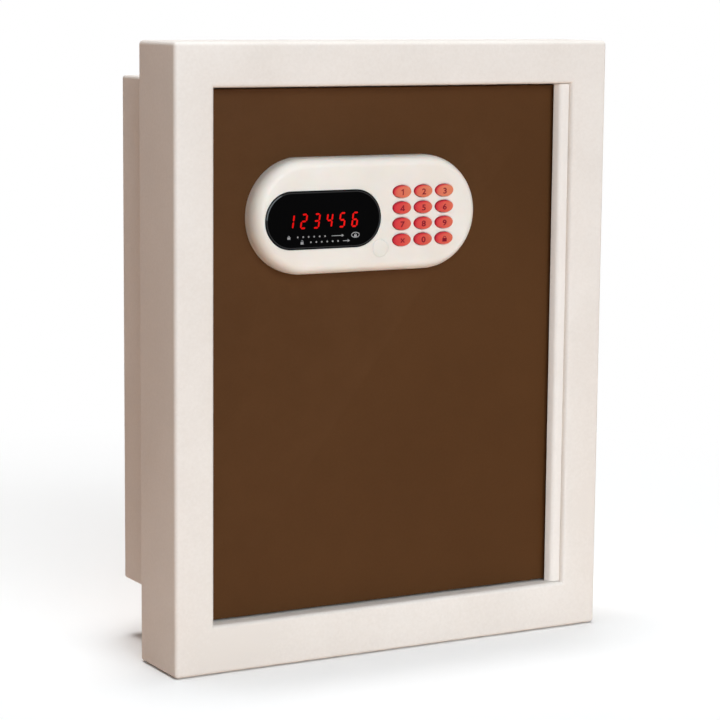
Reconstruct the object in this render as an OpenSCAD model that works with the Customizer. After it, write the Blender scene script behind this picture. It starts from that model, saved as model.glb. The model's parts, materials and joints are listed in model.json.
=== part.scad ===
// Recessed wall safe with a keypad, a lit display and motorised bolts.
// Millimetres. +Z is up, +Y goes into the wall, and the plane y = 0 is the face of the wall.

/* [Frame] */
// outer width of the surround
frame_w = 406; // [396:1:430]
// outer height of the surround
frame_h = 508; // [496:1:540]
// how far the surround stands out from the wall
frame_depth = 68; // [62:1:84]
// sheet thickness of the surround
frame_sheet = 2; // [1.6:0.1:2.4]
// width of the face beside the opening
side_border = 35; // [32:1:38]
// width of the face above the opening
top_border = 36; // [32:1:40]
// width of the face below the opening
bottom_border = 40; // [34:1:46]
// bend radius on the outer edges
outer_round = 3.5; // [2.5:0.5:4]
// bend radius on the front edge of the opening
lip_round = 4; // [3:0.5:5]
// depth of the jamb behind the front face
jamb_depth = 46; // [44:1:52]

/* [Case] */
// how far the surround laps the wall at each side of the case
case_lap_side = 25; // [22:0.5:33]
// how far the surround laps the wall above the case
case_lap_top = 31; // [22:0.5:40]
// how far the surround laps the wall below the case
case_lap_bottom = 49; // [37:0.5:58]
// how far the case reaches into the wall
case_depth = 88; // [76:1:140]
// sheet thickness of the case
case_sheet = 2; // [1.6:0.1:2.4]
// bend radius on the edges of the case
case_round = 2.5; // [2:0.5:3.5]
// width of the flange that joins the case to the frame
case_flange = 11; // [10:0.5:13]
// clear diameter for the stud screws
stud_hole_d = 7; // [5:0.5:9]
// depth of the stud screws behind the wall's face
stud_set = 32; // [26:1:36]
// spacing of the stud screws in height
stud_span_z = 300; // [240:5:340]
// clear diameter for the anchors in the back
anchor_hole_d = 10; // [8:0.5:13]
// spacing of the anchors in width
anchor_span_x = 250; // [200:5:280]
// spacing of the anchors in height
anchor_span_z = 300; // [240:5:340]
// thickness of the felt floor mat
mat_t = 3; // [2:0.5:5]

/* [Door] */
// depth of the door's face behind the front face
door_recess = 14; // [12:0.5:15.5]
// thickness of the door plate
door_plate = 4; // [3:0.5:5]
// gap between the door plate and the jamb at the bolt side
door_gap = 2; // [1.5:0.1:3]
// gap above and below the door plate
door_end_gap = 1.4; // [1.2:0.1:2.5]
// how far the door plate reaches behind the hinge strip
strip_lap = 4; // [2:0.5:6]
// step from the edge of the door plate to the pan behind it
pan_inset = 6; // [5:0.5:8]
// sheet thickness of the pan
pan_sheet = 2; // [1.6:0.1:2.4]
// sheet thickness of the back cover
cover_sheet = 1.5; // [1.2:0.1:2]
// room for the rubber stops behind the back cover
stop_room = 3; // [2:0.1:4]

/* [Hinge] */
// width of the strip that hides the hinge side
strip_w = 12; // [11:0.5:14]
// depth of the strip behind the front face
strip_set = 4; // [3:0.5:6]
// sheet thickness of the strip
strip_sheet = 1.5; // [1.2:0.1:1.8]
// bend radius on the strip's front edge
strip_round = 2.5; // [2:0.5:4.5]
// depth of the hinge axis behind the door's face
pivot_set = 10; // [9.5:0.5:12]
// hinge pin diameter
pin_d = 8; // [7:0.5:9]

/* [Bolts] */
// bolt diameter
bolt_d = 12; // [10:0.5:13]
// bolt travel
bolt_throw = 20; // [16:1:21]
// height between the two bolts
bolt_pitch = 240; // [220:5:270]
// thickness of the carriage plate
carriage_t = 3; // [2.5:0.1:3.5]
// thickness of the strike plate
strike_t = 4; // [3:0.5:6]
// play around a bolt in its strike window
strike_play = 2; // [1.5:0.1:3]
// number of teeth on the pinion
pinion_teeth = 18; // [18:1:20]

/* [Keypad] */
// width of the keypad housing
keypad_w = 208; // [205:1:216]
// height of the keypad housing
keypad_h = 94.5; // [93:0.5:104]
// how far the housing stands out from the door
keypad_depth = 18; // [17:0.5:20]
// radius on the housing's front edge
keypad_round = 8; // [6:0.5:8.5]
// wall thickness of the housing
keypad_wall = 3; // [2.6:0.1:3.4]
// sideways place of the housing's centre
keypad_x = -30.5; // [-34:0.5:-26]
// height of the housing's centre
keypad_z = 114; // [100:0.5:122]
// space between the display window and the keys
window_to_keys = 11.3; // [10.4:0.1:16]
// height of the display window
window_h = 47; // [44:0.5:50]
// height of a display figure
digit_h = 12.4; // [10:0.1:14]
// width of a key
key_w = 16.6; // [16:0.1:18]
// height of a key
key_h = 9.9; // [9.4:0.1:11]
// spacing of the keys in width
key_pitch_x = 20.1; // [19.9:0.1:20.4]
// spacing of the keys in height
key_pitch_z = 13.2; // [13.1:0.1:13.6]
// how far a key stands out of the housing
key_rise = 2; // [1.4:0.1:2.6]
// key travel
key_travel = 1; // [0.6:0.1:1.2]
// diameter of the round port cap
cap_d = 14.5; // [14:0.1:15.4]

/* [Hidden] */
$fn = 64;

// overshoot of a cut past the face it opens
over = 1;
// clearance between bodies that move past each other
run_gap = 0.3;
// radial clearance of a turning or sliding fit
fit_gap = 0.08;
// clearance around a piece set in a hole of the same body
set_gap = 0.05;

// frame: opening and levels in depth
open_x = frame_w / 2 - side_border;
open_top = frame_h / 2 - top_border;
open_bot = bottom_border - frame_h / 2;
open_mid = (open_top + open_bot) / 2;
front_y = -frame_depth;
jamb_y = front_y + jamb_depth;
case_fit = 0.4;

// case: edges, and its screws
case_w = frame_w - 2 * case_lap_side;
case_h = frame_h - case_lap_top - case_lap_bottom;
case_x = case_w / 2;
case_top = frame_h / 2 - case_lap_top;
case_bot = case_lap_bottom - frame_h / 2;
case_lift = (case_top + case_bot) / 2;
case_front = -frame_sheet - case_sheet;
screw_spread = 0.36;
m4_r = 2;
m4_head_r = 3.6;
m4_head_h = 2.2;
m3_r = 1.5;
m3_head_r = 2.8;
m3_head_h = 1.7;
mat_edge = 2;

// door: levels in depth and edges
face_y = front_y + door_recess;
plate_y = face_y + door_plate;
cover_back = jamb_y - stop_room;
cover_y = cover_back - cover_sheet;
strip_left = open_x - strip_w;
swing_gap = 1;
pivot_x = strip_left - swing_gap - pivot_set;
pivot_y = face_y + pivot_set;
door_left = door_gap - open_x;
door_right = strip_left + strip_lap;
door_top = open_top - door_end_gap;
door_bot = open_bot + door_end_gap;
pan_left = door_left + pan_inset;
pan_right = pivot_x + pivot_set;
pan_top = door_top - pan_inset;
pan_bot = door_bot + pan_inset;
lip_w = 12;
lip_screw = 7;
cover_edge = 2;
cover_screw_len = 4;

// strip: ends and screws
strip_end = 0.4;
strip_back = face_y - 0.4;
strip_screw_y = (front_y + strip_set + strip_back) / 2;
strip_screw_z = [-0.4, 0, 0.4] * (open_top - open_bot);
strip_screw_len = frame_sheet + strip_sheet + 1;

// hinge: bush, pin and block
bush_wall = 1.5;
bush_flange_r = pin_d / 2 + 2;
bush_flange = door_end_gap - run_gap;
pin_r = pin_d / 2;
pin_collar_r = pin_r + 2;
pin_tip = 1;
block_side = 9;
block_y = 16;
block_z = 26;

// stops
stop_len = 50;
stop_inset = 25;
stop_reach = 16;
stop_t = 2;
pad_w = 7;
pad_end = 5;

// bolts and carriage
bolt_r = bolt_d / 2;
bolt_y = (plate_y + cover_y) / 2;
bolt_tip = 1.5;
bolt_z = [open_mid - bolt_pitch / 2, open_mid + bolt_pitch / 2];
guide_flange = 2;
guide_wall = 2;
guide_lap = 1.5;
guide_len = 10;
carriage_end_gap = 2;
carriage_left = pan_left + guide_len + bolt_throw + carriage_end_gap;
carriage_w = 46;
carriage_right = carriage_left + carriage_w;
carriage_end = 14;
bolt_seat = 16;
carriage_y0 = bolt_y - carriage_t / 2;
carriage_y1 = bolt_y + carriage_t / 2;
bolt_pin_r = 1.5;
window_side = bolt_d + 2 * strike_play;
strike_edge_y = 6;
strike_end = 30;
strike_screw_r = 2.5;
strike_head_r = 4.4;
strike_screw_gap = 10;
strike_screw_z = window_side / 2 + strike_screw_gap;

// rack and pinion
gear_m = 1;
pressure = 20;
backlash = 0.15;
pitch_r = gear_m * pinion_teeth / 2;
gear_root_r = pitch_r - 1.25 * gear_m;
gear_tip_r = pitch_r + gear_m;
gear_base_r = pitch_r * cos(pressure);
deg = 180 / PI;
tooth_half = 90 / pinion_teeth - backlash / 2 / pitch_r * deg;
flank_steps = 5;
gear_t = 5;
gear_clear = 20;
rack_drop = 12;
gear_x = carriage_right + gear_clear;
rack_z = open_mid - rack_drop;
gear_z = rack_z + pitch_r;
rack_body = 9;
rack_first = -2;
rack_last = ceil(bolt_throw / (PI * gear_m)) + 2;
rack_end = gear_x + (rack_last + 1) * PI * gear_m;
shaft_r = 2;
shaft_tail = 1.5;

// carriage studs: slots run along the throw
stud_r = 3;
stud_foot_r = 5;
stud_head_t = 2;
slot_play = 0.4;
stud_inset = 7;
stud_x = carriage_left + stud_inset + stud_r;
stud_z = [-0.36, -0.14, 0.16, 0.3] * bolt_pitch;

// sensors: a flag below the carriage passes through two slots
flag_w = 8;
flag_h = 11;
flag_x = carriage_left + carriage_w / 2;
sensor_w = 10;
sensor_h = 15;
sensor_wall = 4;
carriage_bot = bolt_z[0] - carriage_end;
carriage_top = bolt_z[1] + carriage_end;

// geared motor
gearbox_w = 34;
gearbox_round = 3;
gearbox_ear = 4;
gearbox_below = 14;
gearbox_above = 28;
gearbox_y = carriage_y0 - m3_head_h - 2 * run_gap;
motor_r = 7.5;
motor_len = 30;
motor_boss = 1.5;
motor_y = plate_y + motor_r + 0.3;
motor_top = gear_z + gearbox_above + motor_len;

// battery tray and hatch
cell_r = 7.15;
cell_len = 49.2;
cell_nub_r = 2.7;
cell_nub = 1.3;
cell_pitch = 16;
tray_floor = 1.6;
tray_wall = 1.6;
tray_rib = 0.8;
tray_side = 65;
tray_rise = 34;
tray_x = pan_right - tray_side;
tray_bot = door_bot + tray_rise;
contact_w = 10;
contact_r = 2;
contact_t = 0.6;
contact_gap = 1.2;
tray_len = 2 * (cell_len + cell_nub + set_gap) + 2 * (contact_t + contact_gap) + 2 * tray_wall;
tray_w = 2 * cell_pitch + 2 * tray_wall;
tray_top = tray_bot + tray_len;
cell_y = plate_y + tray_floor + cell_r + 0.3;
tray_y = cell_y + 2;
hatch_lap = 4;
hatch_t = 1.5;
hatch_w = tray_w + 2 * hatch_lap;
hatch_len = tray_len + 2 * hatch_lap;
hatch_bot = tray_bot - hatch_lap;
hatch_y = cover_back + run_gap;
rail_w = 4;
rail_lip = 2;
rail_t = 1.2;

// keypad: levels measured from the door's face towards the room
wall_in = keypad_depth - keypad_wall;
skirt_t = 1;
skirt_lap = 0.9;
pill_t = 1;
pill_r = 2.5;
skirt_top = wall_in - run_gap;
board_front = skirt_top - skirt_t - pill_t - key_travel - run_gap;
board_t = 1.6;
board_back = board_front - board_t;
key_gap = 0.35;
key_dome = 40;
key_field = 2 * key_pitch_x + key_w;
key_edge = 25;
key_grid_x = (keypad_w - key_field) / 2 - key_edge;
key_grid_z = -1.7;
key_cell = [for (row = [1.5:-1:-1.5]) for (col = [-1:1])
  [key_grid_x + col * key_pitch_x, key_grid_z + row * key_pitch_z]];
mat_sheet = 1;
mat_margin = 2;
mat_play = 0.8;
mat_hole = pill_r + mat_play;
post_r = 4;
post_inset = 16;
post_x = keypad_w / 2 - keypad_wall - post_inset;
post_z = 26;
post_places = [[-post_x, -post_z], [post_x, -post_z], [-post_x, post_z], [post_x, post_z]];
post_bore = 1.75;
post_bore_top = 10;
boss_r = 3;
boss_bore = 1.25;
boss_z = keypad_h / 2 - keypad_wall - boss_r - 6;
boss_left = -60;
boss_right = 40;
boss_places = [for (x = [boss_left, boss_right]) for (z = [-boss_z, boss_z]) [x, z]];
board_edge = 1;

// display
window_left = 8.9;
window_w = keypad_w - window_left - window_to_keys - key_field - key_edge;
window_x = window_left + (window_w - keypad_w) / 2;
window_z = -2.3;
window_t = 2.6;
window_sink = 2;
window_round = 0.8;
window_ledge = 4;
window_gap = 0.15;
window_back = keypad_depth - window_sink;
digit_w = 0.47 * digit_h;
digit_pitch = 0.945 * digit_h;
digit_bar = 0.115 * digit_h;
digit_split = 0.25;
digit_slant = 8;
digit_sink = 0.5;
digit_left = 0.8;
digit_drop = 0.7;
digits_x = window_x - digit_left;
digits_z = window_z - digit_drop;
module_side = 4;

// port and cap
cap_to_keys = 40;
cap_x = key_grid_x - cap_to_keys;
cap_z = -27.6;
cap_r = cap_d / 2;
cap_seat = 1.6;
cap_proud = 0.3;
cap_step = 1;
cap_play = 0.2;
cap_skirt = 0.9;
cap_skirt_len = 3.2;
port_r = cap_r - cap_step - cap_skirt - 0.4;

// wiring
lead_r = 1.4;
lead_sides = 8;
grommet_x = 0;
grommet_z = 8;
grommet_bore = 4;
grommet_r = 6;
grommet_flange = 1.4;
grommet_lap = 2;
plug_w = 7;
plug_t = 4.6;
plug_z = 22;
plug_x = 6;
lead_y = plate_y + 4.5;
lead_end = 0.2;
lead_part = 2;
lead_bend = 3;
lead_drop = 14;
motor_sweep = 25;
battery_sweep = 40;
clip_wall = 1.2;
clip_half = 3;

module block(x0, x1, y0, y1, z0, z1) {
  translate([x0, y0, z0]) cube([x1 - x0, y1 - y0, z1 - z0]);
}

// the outline lies in X and Z and is carried from y0 to y1
module slab_xz(y0, y1) {
  translate([0, y1, 0]) rotate([90, 0, 0]) linear_extrude(y1 - y0) children();
}

// the outline lies in Y and Z and is carried from x0 to x1
module slab_yz(x0, x1) {
  translate([x0, 0, 0]) rotate([90, 0, 90]) linear_extrude(x1 - x0) children();
}

// the outline lies in X and Y and is carried from z0 to z1
module slab_xy(z0, z1) {
  translate([0, 0, z0]) linear_extrude(z1 - z0) children();
}

module rect(x0, x1, y0, y1) {
  translate([x0, y0]) square([x1 - x0, y1 - y0]);
}

module round_rect(x0, x1, y0, y1, r) {
  rect(x0 + r, x1 - r, y0, y1);
  rect(x0, x1, y0 + r, y1 - r);
  for (x = [x0 + r, x1 - r]) for (y = [y0 + r, y1 - r]) translate([x, y]) circle(r);
}

module soft_box(x0, x1, y0, y1, z0, z1, r) {
  intersection() {
    slab_xz(y0, y1) round_rect(x0, x1, z0, z1, r);
    slab_yz(x0, x1) round_rect(y0, y1, z0, z1, r);
    slab_xy(z0, z1) round_rect(x0, x1, y0, y1, r);
  }
}

module rod_x(y, z, r, x0, x1) {
  translate([x0, y, z]) rotate([0, 90, 0]) cylinder(r = r, h = x1 - x0);
}

module rod_y(x, z, r, y0, y1) {
  translate([x, y0, z]) rotate([-90, 0, 0]) cylinder(r = r, h = y1 - y0);
}

module rod_z(x, y, r, z0, z1) {
  translate([x, y, z0]) cylinder(r = r, h = z1 - z0);
}

// a domed screw with its head above z = 0 and its shank below
module domed_screw(shank_r, head_r, head_h, len) {
  recess = 0.5 * head_h;
  wing = 0.22 * head_r;
  difference() {
    union() {
      intersection() {
        cylinder(r = head_r, h = head_h);
        translate([0, 0, head_h - 1.7 * head_r]) sphere(1.7 * head_r);
      }
      translate([0, 0, -len]) cylinder(r = shank_r, h = len);
    }
    for (turn = [0, 90]) rotate([0, 0, turn])
      translate([-wing / 2, -0.6 * head_r, head_h - recess]) cube([wing, 1.2 * head_r, head_h]);
  }
}

// the opening's section: straight jamb with a rolled front lip
module lip_section(lo, hi) {
  difference() {
    union() {
      rect(lo, hi, front_y - over, -frame_sheet);
      rect(lo - lip_round, hi + lip_round, front_y - over, front_y + lip_round);
    }
    for (c = [lo - lip_round, hi + lip_round]) translate([c, front_y + lip_round]) circle(lip_round);
  }
}

module rolled_opening() {
  intersection() {
    slab_xy(-frame_h, frame_h) lip_section(-open_x, open_x);
    slab_yz(-frame_w, frame_w) mirror([1, -1]) lip_section(open_bot, open_top);
  }
}

module case_screw_places() {
  for (x = [-1, 1] * (case_x + case_flange / 2)) for (k = [-screw_spread, 0, screw_spread])
    translate([x, case_front, case_lift + k * case_h]) children();
  for (z = [case_bot - case_flange / 2, case_top + case_flange / 2])
    for (k = [-screw_spread, 0, screw_spread])
      translate([k * case_w, case_front, z]) children();
}

module strip_screw_places() {
  for (z = strip_screw_z) translate([open_x + frame_sheet, strip_screw_y, open_mid + z]) children();
}

module strike_screw_places() {
  for (z = bolt_z) for (up = [-1, 1] * strike_screw_z) translate([-open_x, bolt_y, z + up]) children();
}

// the folded sheet of the surround, from the wall round to the jambs
module surround_sheet() {
  t = frame_sheet;
  difference() {
    soft_box(-frame_w / 2, frame_w / 2, front_y, 0, -frame_h / 2, frame_h / 2, outer_round);
    difference() {
      block(t - frame_w / 2, frame_w / 2 - t, front_y + t, -t, t - frame_h / 2, frame_h / 2 - t);
      block(-open_x - t, open_x + t, front_y, jamb_y, open_bot - t, open_top + t);
      block(-open_x - lip_round, open_x + lip_round, front_y, front_y + lip_round,
        open_bot - lip_round, open_top + lip_round);
    }
    rolled_opening();
    block(-case_x - case_fit, case_x + case_fit, -t - over, over, case_bot - case_fit, case_top + case_fit);
    case_screw_places() rod_y(0, 0, m4_r + set_gap, 0, frame_depth);
    strip_screw_places() rod_x(0, 0, m4_r + set_gap, -t - over, over);
    rod_z(pivot_x, pivot_y, pin_r + bush_wall + set_gap, open_bot - t - over, open_top + t + over);
  }
}

module ring_space() {
  block(-frame_w, frame_w, -outer_round, over, -frame_h, frame_h);
}

// where the jamb at the bolt side is left out for its plates
module strike_jamb_space() {
  block(-open_x - frame_sheet - over, over - open_x, front_y + lip_round, jamb_y + over, open_bot, open_top);
}

module front_frame() {
  color([0.92, 0.88, 0.85]) difference() {
    surround_sheet();
    ring_space();
    strike_jamb_space();
  }
}

module back_ring() {
  color([0.92, 0.88, 0.85]) intersection() {
    surround_sheet();
    ring_space();
  }
}

// the jamb at the bolt side: plates below, between and above the bolts
module strike_jamb() {
  starts = [open_bot, bolt_z[0] + window_side / 2, bolt_z[1] + window_side / 2];
  ends = [bolt_z[0] - window_side / 2, bolt_z[1] - window_side / 2, open_top];
  color([0.92, 0.88, 0.85]) difference() {
    for (k = [0:2]) block(-open_x - frame_sheet, -open_x, front_y + lip_round, jamb_y, starts[k], ends[k]);
    strike_screw_places() flat_head_hole();
  }
}

module rear_case() {
  color([0.92, 0.88, 0.85]) difference() {
    union() {
      soft_box(-case_x, case_x, case_front - case_depth, case_depth, case_bot, case_top, case_round);
      block(-case_x - case_flange, case_x + case_flange, case_front, -frame_sheet,
        case_bot - case_flange, case_top + case_flange);
    }
    block(-frame_w, frame_w, case_front - 2 * case_depth, case_front, -frame_h, frame_h);
    block(case_sheet - case_x, case_x - case_sheet, case_front - over, case_depth - case_sheet,
      case_bot + case_sheet, case_top - case_sheet);
    case_screw_places() rod_y(0, 0, m4_r + set_gap, -over, case_sheet + over);
    for (z = [-0.5, 0.5] * stud_span_z) rod_x(stud_set, case_lift + z, stud_hole_d / 2, -frame_w, frame_w);
    for (x = [-0.5, 0.5] * anchor_span_x) for (z = [-0.5, 0.5] * anchor_span_z)
      rod_y(x, case_lift + z, anchor_hole_d / 2, case_depth - case_sheet - over, case_depth + over);
  }
}

module case_screws() {
  color([0.7, 0.7, 0.72]) case_screw_places()
    rotate([90, 0, 0]) domed_screw(m4_r, m4_head_r, m4_head_h, case_sheet + frame_sheet - set_gap);
}

module strip_outline(inset) {
  x0 = strip_left + inset;
  x1 = open_x - inset;
  y0 = front_y + strip_set + inset;
  r = strip_round - inset;
  union() {
    rect(x0 + r, x1, y0, strip_back);
    rect(x0, x1, y0 + r, strip_back);
    translate([x0 + r, y0 + r]) circle(r);
  }
}

module hinge_strip() {
  color([0.92, 0.88, 0.85]) difference() {
    slab_xy(open_bot + strip_end, open_top - strip_end) difference() {
      strip_outline(0);
      intersection() {
        strip_outline(strip_sheet);
        rect(strip_left, open_x, front_y, strip_back);
      }
    }
    strip_screw_places() rod_x(0, 0, m4_r + set_gap, -strip_screw_len - over, over);
  }
}

// a flat head that lies flush in the jamb, with its shank going left through the strike plate
module flat_head() {
  rotate([0, -90, 0]) {
    cylinder(r1 = strike_head_r, r2 = strike_screw_r, h = frame_sheet);
    translate([0, 0, frame_sheet]) cylinder(r = strike_screw_r, h = strike_t);
  }
}

// the sunk hole for that screw, open at both faces
module flat_head_hole() {
  head = strike_head_r + set_gap;
  shank = strike_screw_r + set_gap;
  rotate([0, -90, 0]) {
    translate([0, 0, -over]) cylinder(r = head, h = over);
    cylinder(r1 = head, r2 = shank, h = frame_sheet);
    cylinder(r = shank, h = frame_sheet + strike_t + over);
  }
}

// one plate behind the jamb at each bolt
module strike_plates() {
  x1 = -open_x - frame_sheet;
  y0 = bolt_y - window_side / 2;
  y1 = bolt_y + window_side / 2;
  color([0.6, 0.61, 0.63]) difference() {
    for (z = bolt_z)
      block(x1 - strike_t, x1, y0 - strike_edge_y, y1 + strike_edge_y, z - strike_end, z + strike_end);
    for (z = bolt_z)
      block(x1 - strike_t - over, x1 + over, y0, y1, z - window_side / 2, z + window_side / 2);
    strike_screw_places() flat_head_hole();
  }
}

// the screws that hold the strip and the strike plates to the jambs
module jamb_screws() {
  color([0.7, 0.7, 0.72]) {
    strip_screw_places() rotate([0, 90, 0]) domed_screw(m4_r, m4_head_r, m4_head_h, strip_screw_len);
    strike_screw_places() flat_head();
  }
}

module hinge_bushes() {
  color([0.78, 0.62, 0.3])
    for (end = [[open_top, 1], [open_bot, -1]]) translate([pivot_x, pivot_y, end[0]])
      mirror([0, 0, end[1] > 0 ? 0 : 1]) difference() {
        union() {
          translate([0, 0, -bush_flange]) cylinder(r = bush_flange_r, h = bush_flange);
          cylinder(r = pin_r + bush_wall, h = frame_sheet);
        }
        translate([0, 0, -bush_flange - over])
          cylinder(r = pin_r + fit_gap, h = bush_flange + frame_sheet + 2 * over);
      }
}

module stop_places() {
  for (z = [open_bot + stop_inset, open_top - stop_inset - stop_len]) translate([0, 0, z]) children();
}

module door_stops() {
  color([0.6, 0.61, 0.63]) stop_places()
    block(-open_x - frame_sheet - stop_reach / 2, stop_reach - open_x, jamb_y, jamb_y + stop_t, 0, stop_len);
}

module stop_pads() {
  x1 = stop_reach - open_x - 1;
  color([0.08, 0.08, 0.08]) stop_places()
    block(x1 - pad_w, x1, cover_back + run_gap, jamb_y, pad_end, stop_len - pad_end);
}

module floor_mat() {
  z = case_bot + case_sheet;
  x = case_x - case_sheet - mat_edge;
  color([0.2, 0.2, 0.22]) block(-x, x, mat_edge, case_depth - case_sheet - mat_edge, z, z + mat_t);
}

module keypad_places() {
  translate([keypad_x, face_y, keypad_z]) rotate([90, 0, 0]) children();
}

module door_panel() {
  color([0.33, 0.21, 0.12]) difference() {
    block(door_left, door_right, face_y, plate_y, door_bot, door_top);
    keypad_places() {
      for (p = post_places) translate([p[0], p[1], -door_plate - over])
        cylinder(r = m4_r + 2 * set_gap, h = door_plate + 2 * over);
      translate([grommet_x, grommet_z, -door_plate - over])
        cylinder(r = grommet_r, h = door_plate + 2 * over);
    }
  }
}

module cover_screw_places() {
  xs = [pan_left + lip_screw, (pan_left + pan_right) / 2, pan_right - lip_screw];
  zs = [pan_bot + lip_screw, (pan_bot + pan_top) / 2, pan_top - lip_screw];
  for (i = [0:2]) for (j = [0:2]) if (i != 1 || j != 1) translate([xs[i], cover_back, zs[j]]) children();
}

module door_pan() {
  t = pan_sheet;
  color([0.33, 0.21, 0.12]) difference() {
    block(pan_left, pan_right, plate_y, cover_y, pan_bot, pan_top);
    block(pan_left + t, pan_right - t, plate_y - over, cover_y - t, pan_bot + t, pan_top - t);
    block(pan_left + lip_w, pan_right - lip_w, cover_y - t - over, cover_y + over,
      pan_bot + lip_w, pan_top - lip_w);
    for (z = bolt_z) rod_x(bolt_y, z, bolt_r + guide_wall + set_gap, pan_left - over, pan_left + t + over);
    rod_z(pivot_x, pivot_y, pin_r + set_gap, pan_bot - over, pan_top + over);
    cover_screw_places() rod_y(0, 0, m4_r + set_gap, -cover_sheet - t - over, over);
  }
}

module tray_opening() {
  block(tray_x - tray_w / 2, tray_x + tray_w / 2, cover_y - over, cover_back + over, tray_bot, tray_top);
}

module back_cover() {
  e = cover_edge;
  color([0.33, 0.21, 0.12]) difference() {
    block(pan_left + e, pan_right - e, cover_y, cover_back, pan_bot + e, pan_top - e);
    tray_opening();
    cover_screw_places() rod_y(0, 0, m4_r + set_gap, -cover_sheet - over, over);
  }
}

module cover_screws() {
  color([0.7, 0.7, 0.72]) cover_screw_places()
    rotate([-90, 0, 0]) domed_screw(m4_r, m4_head_r, m4_head_h, cover_sheet + cover_screw_len);
}

module hinge_blocks() {
  color([0.6, 0.61, 0.63]) for (z = [pan_bot + pan_sheet, pan_top - pan_sheet - block_z]) difference() {
    block(pivot_x - block_side, pan_right - pan_sheet, plate_y, plate_y + block_y, z, z + block_z);
    rod_z(pivot_x, pivot_y, pin_r + set_gap, z - over, z + block_z + over);
  }
}

module hinge_pins() {
  reach = pan_sheet + block_z;
  collar = pan_inset + door_end_gap - bush_flange - run_gap;
  above = pan_inset + door_end_gap + frame_sheet + pin_tip;
  color([0.75, 0.76, 0.78]) for (end = [[pan_top, 0], [pan_bot, 1]])
    translate([pivot_x, pivot_y, end[0]]) mirror([0, 0, end[1]]) {
      translate([0, 0, -reach]) cylinder(r = pin_r, h = reach + above);
      cylinder(r = pin_collar_r, h = collar);
    }
}

module bolt_guides() {
  color([0.85, 0.85, 0.82]) for (z = bolt_z) difference() {
    union() {
      rod_x(bolt_y, z, bolt_r + guide_wall, pan_left, pan_left + guide_len);
      rod_x(bolt_y, z, bolt_r + guide_wall + guide_lap, pan_left + pan_sheet,
        pan_left + pan_sheet + guide_flange);
    }
    rod_x(bolt_y, z, bolt_r + fit_gap, pan_left - over, pan_left + guide_len + over);
  }
}

module guide_studs() {
  color([0.75, 0.76, 0.78]) for (z = stud_z) {
    rod_y(stud_x, open_mid + z, stud_foot_r, plate_y, carriage_y0 - run_gap);
    rod_y(stud_x, open_mid + z, stud_r, plate_y, carriage_y1 + run_gap);
    rod_y(stud_x, open_mid + z, stud_foot_r, carriage_y1 + run_gap, carriage_y1 + run_gap + stud_head_t);
  }
}

module motor_screw_places() {
  for (x = [-1, 1] * (gearbox_w / 2 - gearbox_ear))
    for (z = [gearbox_ear - gearbox_below, gearbox_above - gearbox_ear])
      translate([gear_x + x, gearbox_y, gear_z + z]) children();
}

module gearbox_housing() {
  color([0.86, 0.86, 0.84]) difference() {
    slab_xz(plate_y, gearbox_y)
      round_rect(gear_x - gearbox_w / 2, gear_x + gearbox_w / 2,
        gear_z - gearbox_below, gear_z + gearbox_above, gearbox_round);
    rod_y(gear_x, gear_z, shaft_r + fit_gap, plate_y + over, gearbox_y + over);
    motor_screw_places() rod_y(0, 0, m3_r + set_gap, plate_y - gearbox_y - over, over);
  }
}

module motor_can() {
  end_r = 3;
  z0 = gear_z + gearbox_above;
  color([0.72, 0.73, 0.75]) {
    rod_z(gear_x, motor_y, motor_r, z0, motor_top);
    rod_z(gear_x, motor_y, end_r, motor_top, motor_top + motor_boss);
  }
}

module motor_screws() {
  color([0.7, 0.7, 0.72]) motor_screw_places()
    rotate([-90, 0, 0]) domed_screw(m3_r, m3_head_r, m3_head_h, gearbox_y - plate_y);
}

module bolt_sensors() {
  color([0.06, 0.06, 0.07]) for (x = [flag_x - bolt_throw, flag_x]) difference() {
    block(x - sensor_w / 2, x + sensor_w / 2, plate_y, carriage_y1 + run_gap + sensor_wall,
      carriage_bot - flag_h - 4, carriage_bot - flag_h - 4 + sensor_h);
    block(x - sensor_w, x + sensor_w, carriage_y0 - run_gap, carriage_y1 + run_gap,
      carriage_bot - flag_h - 1, carriage_bot);
  }
}

module battery_holder() {
  t = tray_wall;
  bay = cell_pitch / 2 - tray_rib / 2;
  color([0.05, 0.05, 0.055]) difference() {
    block(tray_x - tray_w / 2, tray_x + tray_w / 2, plate_y, tray_y, tray_bot, tray_top);
    for (s = [-1, 1]) translate([tray_x + s * cell_pitch / 2, 0, 0])
      block(-bay, bay, plate_y + tray_floor, tray_y + over, tray_bot + t, tray_top - t);
  }
}

module cell_places() {
  z0 = tray_bot + tray_wall + contact_t + contact_gap;
  for (s = [-1, 1]) for (k = [0, 1])
    translate([tray_x + s * cell_pitch / 2, cell_y, z0 + k * (cell_len + cell_nub + set_gap)]) children();
}

module battery_contacts() {
  color([0.75, 0.76, 0.78]) for (s = [-1, 1]) translate([tray_x + s * cell_pitch / 2, 0, 0])
    for (end = [[tray_bot + tray_wall, 0], [tray_top - tray_wall, 1]])
      translate([0, 0, end[0]]) mirror([0, 0, end[1]]) {
        block(-contact_w / 2, contact_w / 2, plate_y + tray_floor, tray_y, 0, contact_t);
        translate([0, cell_y, contact_t]) cylinder(r = contact_r, h = contact_gap - set_gap);
      }
}

module battery_cells() {
  color([0.1, 0.22, 0.16]) cell_places() {
    cylinder(r = cell_r, h = cell_len);
    translate([0, 0, cell_len]) cylinder(r = cell_nub_r, h = cell_nub);
  }
}

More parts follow.
